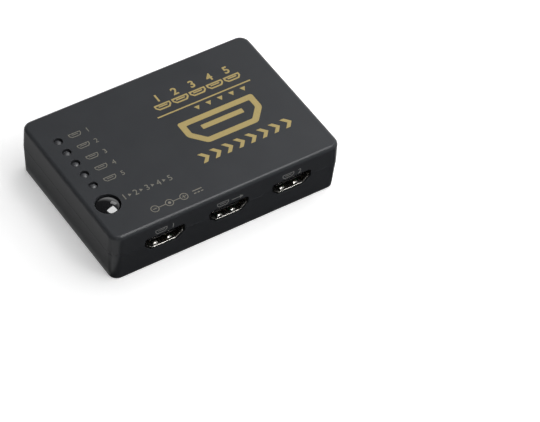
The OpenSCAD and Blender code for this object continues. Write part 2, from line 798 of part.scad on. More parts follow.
module contact_spring(y, l, bore) {
    out = bore / 2 + spring_bend;
    mid = y + l / 2;
    translate([0, 0, jack_axis - spring_h / 2]) linear_extrude(spring_h)
        polygon([[out, y + l], [out - spring_t, y + l], [out - spring_t, mid + spring_bend],
            [out - spring_t - spring_bend, mid], [out - spring_t, y], [out, y],
            [out - spring_bend, mid], [out, mid + spring_bend]]);
    spring_leg(y, l, bore, 0, 0);
}

module power_jack() {
    color([0.07, 0.07, 0.07]) at_jack(-1) difference() {
        jack_block(dc_l);
        bar_y(0, jack_axis, dc_bore_d, -cut, dc_depth);
        bar_y(0, jack_axis, pin_root_d + 2 * pin_gap, 0, dc_l + cut);
        spring_pocket(dc_spring_y, dc_spring_l, dc_bore_d);
    }
}

module power_jack_pin() {
    color([0.78, 0.76, 0.7]) at_jack(-1) {
        bar_y(0, jack_axis, dc_pin_d, pin_setback, dc_depth);
        bar_y(0, jack_axis, pin_root_d, dc_depth, dc_l);
        jack_terminal(dc_l, 0, 0);
    }
}

module power_jack_spring() {
    color([0.78, 0.76, 0.7]) at_jack(-1) contact_spring(dc_spring_y, dc_spring_l, dc_bore_d);
}

module bush_leg(gap, extra) {
    box([-terminal_w / 2 - gap, bush_leg_y - gap, leg_end - extra],
        [terminal_w / 2 + gap, bush_leg_y + terminal_t + gap, jack_axis - ir_bore_d / 2 - bush_t / 2]);
}

module remote_jack() {
    color([0.07, 0.07, 0.07]) at_jack(1) difference() {
        jack_block(ir_l);
        bar_y(0, jack_axis, bush_d + 2 * bush_gap, -cut, bush_l);
        box([-ir_bore_d / 2, bush_l / 2, jack_axis - ir_bore_d / 2],
            [ir_bore_d / 2, ir_depth, jack_axis + ir_bore_d / 2]);
        for (side = [0, 1]) mirror([side, 0, 0]) spring_pocket(ir_spring_y, ir_spring_l, ir_inner_d);
        bush_leg(spring_room, cut);
    }
}

module remote_jack_bush() {
    color([0.8, 0.8, 0.8]) at_jack(1) {
        difference() {
            union() {
                bar_y(0, jack_axis, bush_d, 0, bush_l);
                bush_leg(0, 0);
            }
            bar_y(0, jack_axis, ir_bore_d, -cut, bush_l + cut);
        }
    }
}

module remote_jack_springs() {
    color([0.78, 0.76, 0.7]) at_jack(1)
        for (side = [0, 1]) mirror([side, 0, 0]) contact_spring(ir_spring_y, ir_spring_l, ir_inner_d);
}

// Row of gull-wing leads beside a chip whose side lies at y = 0
module gull_row(count, pitch) {
    for (i = [0:count - 1])
        prism_x((i - (count - 1) / 2) * pitch, gull_w)
            polygon(bent_strip(0, gull_reach, gull_reach + gull_foot, chip_h / 2, gull_t));
}

module on_board(at) {
    translate([at[0], at[1], board_top]) children();
}

module chip_case(l, w) {
    mark_d = min(l, w) / 6;
    difference() {
        box([-w / 2, -l / 2, chip_lift], [w / 2, l / 2, chip_h]);
        translate([mark_d - w / 2, l / 2 - mark_d, chip_h - gull_t]) cylinder(d = mark_d, h = cut);
    }
}

module switch_chip() {
    color([0.08, 0.08, 0.09]) on_board(switch_chip_at) chip_case(switch_chip_w, switch_chip_w);
}

module switch_chip_leads() {
    color([0.75, 0.75, 0.76]) on_board(switch_chip_at) for (a = [0:90:270])
        rotate(a) translate([0, switch_chip_w / 2, 0]) gull_row(switch_chip_leads, switch_chip_pitch);
}

module controller_chip() {
    color([0.08, 0.08, 0.09]) on_board(controller_at) chip_case(controller_l, controller_w);
}

module controller_chip_leads() {
    color([0.75, 0.75, 0.76]) on_board(controller_at) for (a = [90, 270])
        rotate(a) translate([0, controller_w / 2, 0]) gull_row(controller_leads, controller_pitch);
}

module regulator() {
    color([0.08, 0.08, 0.09]) on_board(regulator_at)
        box([-regulator_size[0] / 2, -regulator_size[1] / 2, chip_lift],
            [regulator_size[0] / 2, regulator_size[1] / 2, regulator_size[2]]);
}

module regulator_leads() {
    strip = bent_strip(regulator_size[1] / 2, regulator_size[1] / 2 + gull_reach,
        regulator_size[1] / 2 + gull_reach + gull_foot, chip_h / 2, gull_t);
    color([0.75, 0.75, 0.76]) on_board(regulator_at) {
        for (i = [-1:1]) prism_x(i * regulator_pitch, regulator_lead_w) polygon(strip);
        rotate(180) prism_x(0, regulator_tab_w) polygon(strip);
    }
}

module crystal() {
    rim = 2 * crystal_foot;
    color([0.78, 0.78, 0.76]) on_board(crystal_at) {
        linear_extrude(crystal_h) polygon(rounded(corners(crystal_l, crystal_w), crystal_r, fillet_steps));
        linear_extrude(crystal_foot)
            polygon(rounded(corners(crystal_l + rim, crystal_w + rim), crystal_r, fillet_steps));
    }
}

module filter_capacitors() {
    half = filter_base_w / 2;
    color([0.7, 0.7, 0.72]) for (i = [0, 1]) on_board(filter_at + i * filter_step) {
        linear_extrude(filter_base_h) polygon([[-half, -half], [half, -half], [half, half / 2],
            [half / 2, half], [-half / 2, half], [-half, half / 2]]);
        translate([0, 0, filter_base_h]) cylinder(d = filter_d, h = filter_h - filter_base_h);
    }
}

module chip_part(h) {
    box([-chip_part_w / 2, -chip_part_l / 2, 0], [chip_part_w / 2, chip_part_l / 2, h]);
}

module chip_capacitors() {
    color([0.6, 0.45, 0.3]) on_board(switch_chip_at) for (a = [0:90:270], i = [-1:1])
        rotate(a) translate([i * ring_step, ring_reach, 0]) chip_part(chip_cap_h);
}

module chip_resistors() {
    color([0.1, 0.1, 0.11]) {
        for (i = [0:resistor_count - 1])
            on_board([controller_at[0] + (i - (resistor_count - 1) / 2) * resistor_step, resistor_row_y])
                chip_part(chip_resistor_h);
        for (p = LAMPS) on_board([p[0] + lamp_resistor_shift, p[1]]) chip_part(chip_resistor_h);
    }
}

module surge_arrays() {
    color([0.08, 0.08, 0.09]) at_sockets() for (x = [-1, 1])
        translate([x * surge_step, tail_y + tail_foot + surge_gap + surge_size[1] / 2, 0])
            linear_extrude(surge_size[2]) square([surge_size[0], surge_size[1]], center = true);
}

top_cover();
bottom_cover();
main_board();
housing_screws();
select_button();
switch_plunger();
switch_base();
switch_plate();
switch_dome();
switch_legs();
for (s = SOCKETS) {
    at_socket(s) socket_shell();
    at_socket(s) socket_tongue();
    at_socket(s) socket_contacts();
}
for (i = [1:led_count])
    lamp(LAMPS[i - 1]);
lamp_leads();
power_jack();
power_jack_pin();
power_jack_spring();
remote_jack();
remote_jack_bush();
remote_jack_springs();
switch_chip();
switch_chip_leads();
controller_chip();
controller_chip_leads();
regulator();
regulator_leads();
crystal();
filter_capacitors();
chip_capacitors();
chip_resistors();
surge_arrays();
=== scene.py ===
"""Dresses a video switch box: covers, sockets, button, lamps, jacks, screws, print and studio.

Every piece is in metres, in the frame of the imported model, and rides on one of its two bodies.
"""

from __future__ import annotations

import json
import logging
import math
from collections.abc import Callable, Iterable, Sequence
from dataclasses import dataclass, field
from enum import Enum

import bmesh
import bpy
from bmesh.types import BMEdge, BMesh, BMVert
from bpy.types import Material, Node, NodeSocket, NodeTree, Object
from mathutils import Matrix, Vector

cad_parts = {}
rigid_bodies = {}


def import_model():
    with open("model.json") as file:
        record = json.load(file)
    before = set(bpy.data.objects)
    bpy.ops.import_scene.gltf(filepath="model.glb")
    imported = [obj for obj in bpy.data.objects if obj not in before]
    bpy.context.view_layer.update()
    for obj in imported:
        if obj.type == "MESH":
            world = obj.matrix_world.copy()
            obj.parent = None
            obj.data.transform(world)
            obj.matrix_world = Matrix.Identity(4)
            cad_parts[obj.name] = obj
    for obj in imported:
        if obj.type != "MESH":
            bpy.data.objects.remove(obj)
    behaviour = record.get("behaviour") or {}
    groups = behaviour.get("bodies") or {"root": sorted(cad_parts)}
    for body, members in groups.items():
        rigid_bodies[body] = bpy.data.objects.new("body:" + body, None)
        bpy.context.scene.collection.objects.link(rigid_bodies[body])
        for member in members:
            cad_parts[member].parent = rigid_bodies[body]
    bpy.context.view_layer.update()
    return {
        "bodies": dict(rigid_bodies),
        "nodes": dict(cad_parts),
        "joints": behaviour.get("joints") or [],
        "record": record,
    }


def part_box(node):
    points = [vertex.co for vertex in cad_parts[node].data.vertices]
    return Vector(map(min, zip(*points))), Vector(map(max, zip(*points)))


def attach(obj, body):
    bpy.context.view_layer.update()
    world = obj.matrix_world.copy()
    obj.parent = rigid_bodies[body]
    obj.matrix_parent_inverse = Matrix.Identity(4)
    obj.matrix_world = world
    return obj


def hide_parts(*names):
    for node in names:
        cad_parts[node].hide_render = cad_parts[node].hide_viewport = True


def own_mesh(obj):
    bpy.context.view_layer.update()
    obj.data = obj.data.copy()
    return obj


LOG = logging.getLogger("switch_box")
MM = 0.001
MERGE = 1e-7
ON_FACE = 1e-5
FLAT = math.radians(0.5)
SHARP = math.radians(32)
RIM_ANGLE = math.radians(50)
CIRCULAR = 0.5
ROUND_STEPS = 64
NOISE_MIDDLE = (0.3, 0.7)
LEVEL = 0.9
AHEAD = (0.0, -1.0, 0.0)
WHITE = (1.0, 1.0, 1.0, 1.0)
Point = tuple[float, float]
Colour = tuple[float, float, float]
Ramp = tuple[float, float, float, float]
Region = Callable[[Vector], bool]
Feeds = dict[str | int, object]


class Body(Enum):
    """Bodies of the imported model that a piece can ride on."""

    HOUSING = "housing"
    BUTTON = "button"


class Slot(Enum):
    """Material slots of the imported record."""

    HOUSING = "housing_plastic"
    BUTTON = "button_plastic"
    LENS = "lamp_lens"
    NICKEL = "socket_nickel"
    SOCKET = "socket_plastic"
    GOLD = "contact_gold"
    BOARD = "board_laminate"
    SWITCH = "switch_plastic"
    JACK = "jack_plastic"
    CHIP = "chip_plastic"
    CERAMIC = "chip_ceramic"
    TINNED = "tinned_metal"
    CAN = "can_metal"
    SCREW = "screw_steel"


class Lights(Enum):
    """What a lamp lights: everything, only matte surfaces, or only the polish of a surface."""

    ALL = "all"
    MATTE = "matte"
    POLISH = "polish"


class Nodes:
    """Node tree with short ways to add and join nodes."""

    def __init__(self, tree: NodeTree) -> None:
        """Starts with an empty tree, of a material or of the surroundings."""
        self.tree = tree
        tree.nodes.clear()

    def add(self, kind: str, feeds: Feeds | None = None, **options: str) -> Node:
        """Adds a node.

        Args:
            kind: Type of the node.
            feeds: For each input, the output that feeds it or its constant value.
            options: Options of the node itself.

        Returns:
            The node.
        """
        node = self.tree.nodes.new(kind)
        for key, value in options.items():
            setattr(node, key, value)
        for key, value in (feeds or {}).items():
            if isinstance(value, NodeSocket):
                self.tree.links.new(value, node.inputs[key])
            else:
                node.inputs[key].default_value = value
        return node

    def ramp(self, value: NodeSocket, limits: Ramp, curve: str = "LINEAR") -> NodeSocket:
        """Stretches a value from one range to another.

        Args:
            value: Value to read.
            limits: Both ends of the range it comes from, then both ends of the new range.
            curve: How it runs between the ends.

        Returns:
            The stretched value.
        """
        ends = zip(("From Min", "From Max", "To Min", "To Max"), limits)
        feeds = {"Value": value, **dict(ends)}
        return self.add("ShaderNodeMapRange", feeds, interpolation_type=curve).outputs["Result"]

    def along(self, vector: NodeSocket, direction: Colour) -> NodeSocket:
        """How far a vector goes in a direction."""
        feeds = {0: vector, 1: direction}
        return self.add("ShaderNodeVectorMath", feeds, operation="DOT_PRODUCT").outputs["Value"]

    def combine(self, operation: str, first: NodeSocket, second: NodeSocket) -> NodeSocket:
        """Combines two values by an operation."""
        feeds = {0: first, 1: second}
        return self.add("ShaderNodeMath", feeds, operation=operation).outputs["Value"]

    def blend(self, share: NodeSocket, first: NodeSocket, second: NodeSocket) -> NodeSocket:
        """Mixes two shaders by the share of the second."""
        feeds = {"Fac": share, 1: first, 2: second}
        return self.add("ShaderNodeMixShader", feeds).outputs["Shader"]

    def seen(self) -> NodeSocket:
        """Tells what the camera sees from what only lights the box.

        Returns:
            A value that is 1 for what is seen directly, in a mirror or through glass.
        """
        path = self.add("ShaderNodeLightPath").outputs
        mirrored = self.combine("MAXIMUM", path["Is Camera Ray"], path["Is Glossy Ray"])
        return self.combine("MAXIMUM", mirrored, path["Is Transmission Ray"])


class NodeSheet(Nodes):
    """Nodes of one material, with the few patterns that the finishes share."""

    def __init__(self, name: str) -> None:
        """Starts a material that holds one surface shader.

        Args:
            name: Name of the material.
        """
        self.material = bpy.data.materials.new(name)
        self.material.use_nodes = True
        super().__init__(self.material.node_tree)
        self.surface = self.add("ShaderNodeBsdfPrincipled")
        self.add("ShaderNodeOutputMaterial", {"Surface": self.surface.outputs["BSDF"]})
        self.place = self.add("ShaderNodeTexCoord").outputs["Object"]

    def set(self, **values: float | Colour | NodeSocket) -> None:
        """Sets inputs of the surface shader.

        Args:
            values: Input names with underscores for spaces, and the constant or output for each.
        """
        for key, value in values.items():
            socket = self.surface.inputs[key.replace("_", " ")]
            if isinstance(value, NodeSocket):
                self.tree.links.new(value, socket)
            else:
                socket.default_value = (*value, 1.0) if isinstance(value, tuple) else value

    def noise(self, grain: float, detail: float = 2.0, scale: Colour | None = None) -> NodeSocket:
        """Soft noise whose lumps have a given size.

        Args:
            grain: Size of a lump in metres.
            detail: Octaves of finer noise on top.
            scale: Factor that squeezes it along each axis, or None.

        Returns:
            A value from 0 to 1.
        """
        place = self.place
        if scale:
            squeezed = self.add("ShaderNodeMapping", {"Vector": place, "Scale": scale})
            place = squeezed.outputs["Vector"]
        feeds = {"Vector": place, "Scale": 1.0 / grain, "Detail": detail}
        return self.add("ShaderNodeTexNoise", feeds).outputs["Fac"]

    def spread(self, value: NodeSocket, low: float, high: float) -> NodeSocket:
        """Stretches the middle of a noise to run between two values."""
        return self.ramp(value, (*NOISE_MIDDLE, low, high))

    def tint(self, factor: NodeSocket, dark: Colour, light: Colour) -> NodeSocket:
        """Mixes two colours by the share of the light one."""
        feeds = {"Factor": factor, 6: (*dark, 1.0), 7: (*light, 1.0)}
        return self.add("ShaderNodeMix", feeds, data_type="RGBA").outputs[2]

    def cloudy(self, factor: NodeSocket, colour: Colour, low: float, high: float) -> NodeSocket:
        """Makes a colour darker and lighter by factors, where a noise is low and high."""
        dark, light = (tuple(min(1.0, c * f) for c in colour) for f in (low, high))
        return self.tint(factor, dark, light)

    def bump(self, height: NodeSocket, depth: float, strength: float = 1.0) -> None:
        """Roughens the surface with a height, whose 1 is a depth in metres."""
        feeds = {"Height": height, "Distance": depth, "Strength": strength}
        self.set(Normal=self.add("ShaderNodeBump", feeds).outputs["Normal"])


class Finish:
    """What a surface is made of and how it was worked."""

    def make(self, name: str) -> Material:
        """Builds the material.

        Args:
            name: Name of the material.

        Returns:
            The material.
        """
        sheet = NodeSheet(name)
        self.paint(sheet)
        return sheet.material

    def paint(self, sheet: NodeSheet) -> None:
        """Gives the sheet its colour, gloss and relief.

        Args:
            sheet: Nodes of the material.
        """
        raise NotImplementedError


@dataclass(frozen=True)
class MouldedPlastic(Finish):
    """Moulded plastic with a spark-eroded grain, faint flow marks and a slight rub of handling."""

    colour: Colour
    roughness: float = 0.45
    gloss: float = 0.4
    grain: float = 0.16 * MM
    grain_depth: float = 0.003 * MM
    mottle: float = 0.12
    flow_size: float = 14 * MM
    rub: float = 0.014
    rub_size: float = 9 * MM

    def paint(self, sheet: NodeSheet) -> None:
        """Gives the sheet its colour, gloss and relief.

        Args:
            sheet: Nodes of the material.
        """
        flow = sheet.noise(self.flow_size, detail=3.0)
        rub = sheet.noise(self.rub_size, detail=1.0)
        sheet.set(
            Base_Color=sheet.cloudy(flow, self.colour, 1 - self.mottle, 1 + self.mottle),
            Roughness=sheet.spread(rub, self.roughness - self.rub, self.roughness + self.rub),
            Specular_IOR_Level=self.gloss,
        )
        sheet.bump(sheet.noise(self.grain), self.grain_depth)


@dataclass(frozen=True)
class PolishedPlastic(Finish):
    """Polished plastic under a clear skin, with faint smears in its gloss."""

    colour: Colour
    roughness: float = 0.09
    coat: float = 0.0
    coat_roughness: float = 0.05
    cloud: Point = (0.92, 1.08)
    cloud_size: float = 1.2 * MM
    smear: Point = (0.8, 1.5)
    smear_size: float = 1.6 * MM
    smear_way: Colour = (1.0, 0.3, 1.0)
    ripple_size: float = 0.5 * MM
    ripple_depth: float = 0.0002 * MM

    def paint(self, sheet: NodeSheet) -> None:
        """Gives the sheet its colour, gloss and relief.

        Args:
            sheet: Nodes of the material.
        """
        cloud = sheet.noise(self.cloud_size)
        smear = sheet.noise(self.smear_size, detail=4.0, scale=self.smear_way)
        sheet.set(
            Base_Color=sheet.cloudy(cloud, self.colour, *self.cloud),
            Roughness=sheet.spread(smear, *(self.roughness * share for share in self.smear)),
            Coat_Weight=self.coat,
            Coat_Roughness=self.coat_roughness,
        )
        sheet.bump(sheet.noise(self.ripple_size, detail=1.0), self.ripple_depth)


@dataclass(frozen=True)
class PlatedMetal(Finish):
    """Plated sheet or wire: rolling lines along one axis under a thin bright plating."""

    colour: Colour
    roughness: float = 0.26
    lines: Colour = (1.0, 0.06, 1.0)
    line_size: float = 0.12 * MM
    line_depth: float = 0.002 * MM
    line_polish: Point = (0.8, 1.25)
    haze: Point = (0.9, 1.06)
    haze_size: float = 2.5 * MM

    def paint(self, sheet: NodeSheet) -> None:
        """Gives the sheet its colour, gloss and relief.

        Args:
            sheet: Nodes of the material.
        """
        rolled = sheet.noise(self.line_size, scale=self.lines)
        haze = sheet.noise(self.haze_size, detail=3.0)
        sheet.set(
            Base_Color=sheet.cloudy(haze, self.colour, *self.haze),
            Roughness=sheet.spread(rolled, *(self.roughness * share for share in self.line_polish)),
            Metallic=1.0,
        )
        sheet.bump(rolled, self.line_depth)


@dataclass(frozen=True)
class LacqueredBoard(Finish):
    """Green lacquered laminate with the copper tracks showing through as lighter bands."""

    lacquer: Colour = (0.012, 0.085, 0.035)
    track: Colour = (0.03, 0.17, 0.07)
    track_scale: float = 0.5 / (0.9 * MM)
    track_bend: float = 6.0
    track_bend_size: float = 0.4
    track_relief: float = 0.03 * MM
    track_strength: float = 0.4
    gloss_size: float = 1.5 * MM
    roughness: Point = (0.22, 0.34)

    def paint(self, sheet: NodeSheet) -> None:
        """Gives the sheet its colour, gloss and relief.

        Args:
            sheet: Nodes of the material.
        """
        feeds = {
            "Vector": sheet.place,
            "Scale": self.track_scale,
            "Distortion": self.track_bend,
            "Detail": 0.0,
            "Detail Scale": self.track_bend_size,
        }
        wave = sheet.add("ShaderNodeTexWave", feeds, bands_direction="X", wave_profile="SAW")
        bands = sheet.spread(wave.outputs["Fac"], 0.0, 1.0)
        sheet.set(
            Base_Color=sheet.tint(bands, self.lacquer, self.track),
            Roughness=sheet.spread(sheet.noise(self.gloss_size), *self.roughness),
        )
        sheet.bump(bands, self.track_relief, self.track_strength)


@dataclass(frozen=True)
class ScreenInk(Finish):
    """Screen-printed ink: a thin dry film of uneven coverage."""

    colour: Colour
    roughness: Point = (0.42, 0.56)
    gloss: float = 0.3
    cover: Point = (0.82, 1.12)
    film_size: float = 0.35 * MM
    grain: float = 0.2 * MM
    grain_depth: float = 0.002 * MM

    def paint(self, sheet: NodeSheet) -> None:
        """Gives the sheet its colour, gloss and relief.

        Args:
            sheet: Nodes of the material.
        """
        film = sheet.noise(self.film_size, detail=4.0)
        sheet.set(
            Base_Color=sheet.cloudy(film, self.colour, *self.cover),
            Roughness=sheet.spread(film, *self.roughness),
            Specular_IOR_Level=self.gloss,
        )
        sheet.bump(sheet.noise(self.grain), self.grain_depth)


FINISHES = {
    Slot.HOUSING: MouldedPlastic((0.0445, 0.047, 0.0515), roughness=0.3, gloss=0.2),
    Slot.BUTTON: PolishedPlastic((0.006, 0.006, 0.007), roughness=0.07, coat=1.0),
    Slot.LENS: PolishedPlastic((0.06, 0.062, 0.068), roughness=0.42),
    Slot.NICKEL: PlatedMetal((0.68, 0.66, 0.62), roughness=0.24),
    Slot.SOCKET: MouldedPlastic((0.008, 0.008, 0.009), roughness=0.5, gloss=0.3),
    Slot.GOLD: PlatedMetal((0.83, 0.6, 0.26), roughness=0.2),
    Slot.BOARD: LacqueredBoard(),
    Slot.SWITCH: MouldedPlastic((0.02, 0.02, 0.021), roughness=0.5),
    Slot.JACK: MouldedPlastic((0.012, 0.012, 0.013), roughness=0.36, gloss=0.45),
    Slot.CHIP: MouldedPlastic((0.018, 0.018, 0.019), roughness=0.6, grain=0.08 * MM),
    Slot.CERAMIC: MouldedPlastic((0.25, 0.18, 0.12), roughness=0.55, grain=0.05 * MM),
    Slot.TINNED: PlatedMetal((0.7, 0.7, 0.69), roughness=0.3),
    Slot.CAN: PlatedMetal((0.72, 0.73, 0.74), roughness=0.33, lines=(1.0, 1.0, 0.08)),
    Slot.SCREW: PlatedMetal((0.5, 0.5, 0.5), roughness=0.34, lines=(0.3, 0.3, 1.0)),
}
GOLD_INK = ScreenInk((0.468, 0.36, 0.13))
LABEL_INK = ScreenInk((0.21, 0.2, 0.165))
SIGN_INK = ScreenInk((0.23, 0.215, 0.175))
SOCKET_INK = ScreenInk((0.32, 0.32, 0.31))


def arc(centre: Point, radius: float, start: float, end: float, steps: int) -> list[Point]:
    """Points along an arc from one angle to another, in degrees, both ends included."""
    angles = [math.radians(start + (end - start) * i / steps) for i in range(steps + 1)]
    return [(centre[0] + radius * math.cos(a), centre[1] + radius * math.sin(a)) for a in angles]


def crown_radius(half_width: float, rise: float) -> float:
    """Radius of the arc that rises by a height over half its chord."""
    return (half_width**2 + rise**2) / (2 * rise)


def inset_corners(corners: Sequence[Point], line: float) -> list[Point]:
    """Corners of a convex shape drawn in by the width of a line.

    Args:
        corners: Corners of the shape, anticlockwise.
        line: Width of the line.

    Returns:
        The inner corners.
    """
    inner = []
    for i, corner in enumerate(corners):
        here = Vector(corner)
        came = (here - Vector(corners[i - 1])).normalized()
        goes = (Vector(corners[(i + 1) % len(corners)]) - here).normalized()
        sides = [Vector((-way.y, way.x)) for way in (came, goes)]
        shift = (sides[0] + sides[1]) * line / (1 + sides[0].dot(sides[1]))
        inner.append(tuple(here + shift))
    return inner


def join(form: BMesh, part: BMesh, place: Matrix) -> None:
    """Turns a part's faces outwards, moves it to its place and adds it to a form.

    Args:
        form: Mesh that receives the part.
        part: Mesh to add, which is freed.
        place: Where the part goes.
    """
    bmesh.ops.remove_doubles(part, verts=part.verts, dist=MERGE)
    bmesh.ops.transform(part, matrix=place, verts=part.verts)
    bmesh.ops.recalc_face_normals(part, faces=part.faces)
    append(form, part)


def append(form: BMesh, part: BMesh) -> None:
    """Adds a part to a form as it is.

    Args:
        form: Mesh that receives the part.
        part: Mesh to add, which is freed.
    """
    store = bpy.data.meshes.new("part")
    part.to_mesh(store)
    form.from_mesh(store)
    bpy.data.meshes.remove(store)
    part.free()


def revolved(outline: Sequence[Point]) -> BMesh:
    """Spins an outline about Z.

    Args:
        outline: Radius and height of each point.

    Returns:
        The round form.
    """
    part = bmesh.new()
    verts = [part.verts.new((radius, 0.0, height)) for radius, height in outline]
    edges = [part.edges.new(pair) for pair in zip(verts, verts[1:])]
    bmesh.ops.spin(
        part,
        geom=verts + edges,
        cent=(0.0, 0.0, 0.0),
        axis=(0.0, 0.0, 1.0),
        angle=math.tau,
        steps=ROUND_STEPS,
        use_merge=True,
    )
    return part


def block(low: Vector, high: Vector, edge: float = 0.0) -> BMesh:
    """Box with rounded edges.

    Args:
        low: Lowest corner.
        high: Highest corner.
        edge: Radius of the edges, or 0 for sharp ones.

    Returns:
        The box.
    """
    part = bmesh.new()
    place = Matrix.Translation((low + high) / 2) @ Matrix.Diagonal((*(high - low), 1.0))
    bmesh.ops.create_cube(part, size=1.0, matrix=place)
    if edge:
        soften(part, list(part.edges), edge)
    return part


def soften(form: BMesh, parts: Sequence[BMEdge | BMVert], width: float, steps: int = 2) -> None:
    """Rounds edges of a form, or the corners of a flat face.

    Args:
        form: Mesh that holds them.
        parts: The edges or the corners.
        width: Width of the rounding.
        steps: Segments across it.
    """
    flat = any(isinstance(part, BMVert) for part in parts)
    bmesh.ops.bevel(
        form,
        geom=parts,
        offset=width,
        segments=steps,
        profile=CIRCULAR,
        affect="VERTICES" if flat else "EDGES",
        clamp_overlap=not flat,
        material=-1,
    )


def sharp_edges(form: BMesh, test: Region) -> list[BMEdge]:
    """Finds the outward edges in one region of a form.

    Args:
        form: Mesh to search.
        test: Says whether a point lies in the region.

    Returns:
        The sharp edges whose ends both lie in the region.
    """
    return [
        e
        for e in form.edges
        if len(e.link_faces) == 2
        and e.is_convex
        and e.calc_face_angle() > RIM_ANGLE
        and all(test(v.co) for v in e.verts)
    ]


def shown(name: str, form: BMesh) -> Object:
    """Makes an object of a form and puts it in the scene.

    Args:
        name: Name of the object.
        form: Its mesh, which is freed.

    Returns:
        The object.
    """
    mesh = bpy.data.meshes.new(name)
    form.to_mesh(mesh)
    form.free()
    made = bpy.data.objects.new(name, mesh)
    bpy.context.scene.collection.objects.link(made)
    return made


def middle_of(node: str) -> Vector:
    """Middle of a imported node's box."""
    low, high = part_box(node)
    return (low + high) / 2


class Bench:
    """Holds the frame and the finishes, and turns forms into pieces that ride on a body."""

    def __init__(self, frame: dict) -> None:
        self.nodes: dict[str, Object] = frame["nodes"]
        self.finish = {slot: maker.make(slot.value) for slot, maker in FINISHES.items()}

    def copy_of(self, node: str) -> BMesh:
        """Merged copy of a node's mesh, with its flat faces joined.

        Args:
            node: Name of the node.

        Returns:
            The copy.
        """
        form = bmesh.new()
        form.from_mesh(self.nodes[node].data)
        bmesh.ops.remove_doubles(form, verts=form.verts, dist=MERGE)
        bmesh.ops.dissolve_limit(form, angle_limit=FLAT, verts=form.verts, edges=form.edges)
        return form

    def piece(
        self,
        name: str,
        form: BMesh,
        look: Slot | Material,
        body: Body = Body.HOUSING,
        stands_for: Iterable[str] = (),
    ) -> Object:
        """Makes a piece of a form and lets it ride on a body.

        Args:
            name: Name of the piece.
            form: Its mesh, which is freed.
            look: Slot of the record whose finish it takes, or a material of its own.
            body: Body that it moves with.
            stands_for: Nodes that it replaces.

        Returns:
            The piece.
        """
        made = shown(name, form)
        mesh = made.data
        mesh.shade_smooth()
        mesh.set_sharp_from_angle(angle=SHARP)
        mesh.materials.append(self.finish[look] if isinstance(look, Slot) else look)
        even = made.modifiers.new("even normals", "WEIGHTED_NORMAL")
        even.keep_sharp = True
        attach(made, body.value)
        if stands_for:
            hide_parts(*stands_for)
        LOG.info("piece %s on %s, %d faces", name, body.value, len(mesh.polygons))
        return made

    def soft_copy(
        self, node: str, name: str, slot: Slot, test: Region, rim: float, steps: int = 2
    ) -> None:
        """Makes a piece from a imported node, with the sharp rims of one region rounded.

        Args:
            node: Node to copy and replace.
            name: Name of the piece.
            slot: Slot of the record that it takes its finish from.
            test: Says whether a point lies in the region.
            rim: Width of the rounding.
            steps: Segments across it.
        """
        form = self.copy_of(node)
        soften(form, sharp_edges(form, test), rim, steps)
        self.piece(name, form, slot, stands_for=[node])

    def dress(self, node: str, slot: Slot) -> None:
        """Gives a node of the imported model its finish.

        Args:
            node: Name of the node.
            slot: Slot of the record that it takes its finish from.
        """
        carried = self.nodes[node]
        carried.data.materials.clear()
        carried.data.materials.append(self.finish[slot])
        LOG.info("node %s dressed as %s", node, slot.value)


@dataclass
class Assembly:
    """One sub-assembly of the box, whose pieces are made on a bench."""

    bench: Bench

    def build(self) -> None:
        """Makes the pieces."""
        raise NotImplementedError


@dataclass
class Covers(Assembly):
    """The two halves of the housing, with softened rims on the roof and the underside."""

    rim: float = 0.12 * MM

    def build(self) -> None:
        """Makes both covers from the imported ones."""
        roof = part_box("top_cover")[1].z - ON_FACE
        rims = {"top_cover": lambda p: p.z > roof, "bottom_cover": lambda p: p.z < ON_FACE}
        for node, test in rims.items():
            self.bench.soft_copy(node, f"{node}_shell", Slot.HOUSING, test, self.rim)


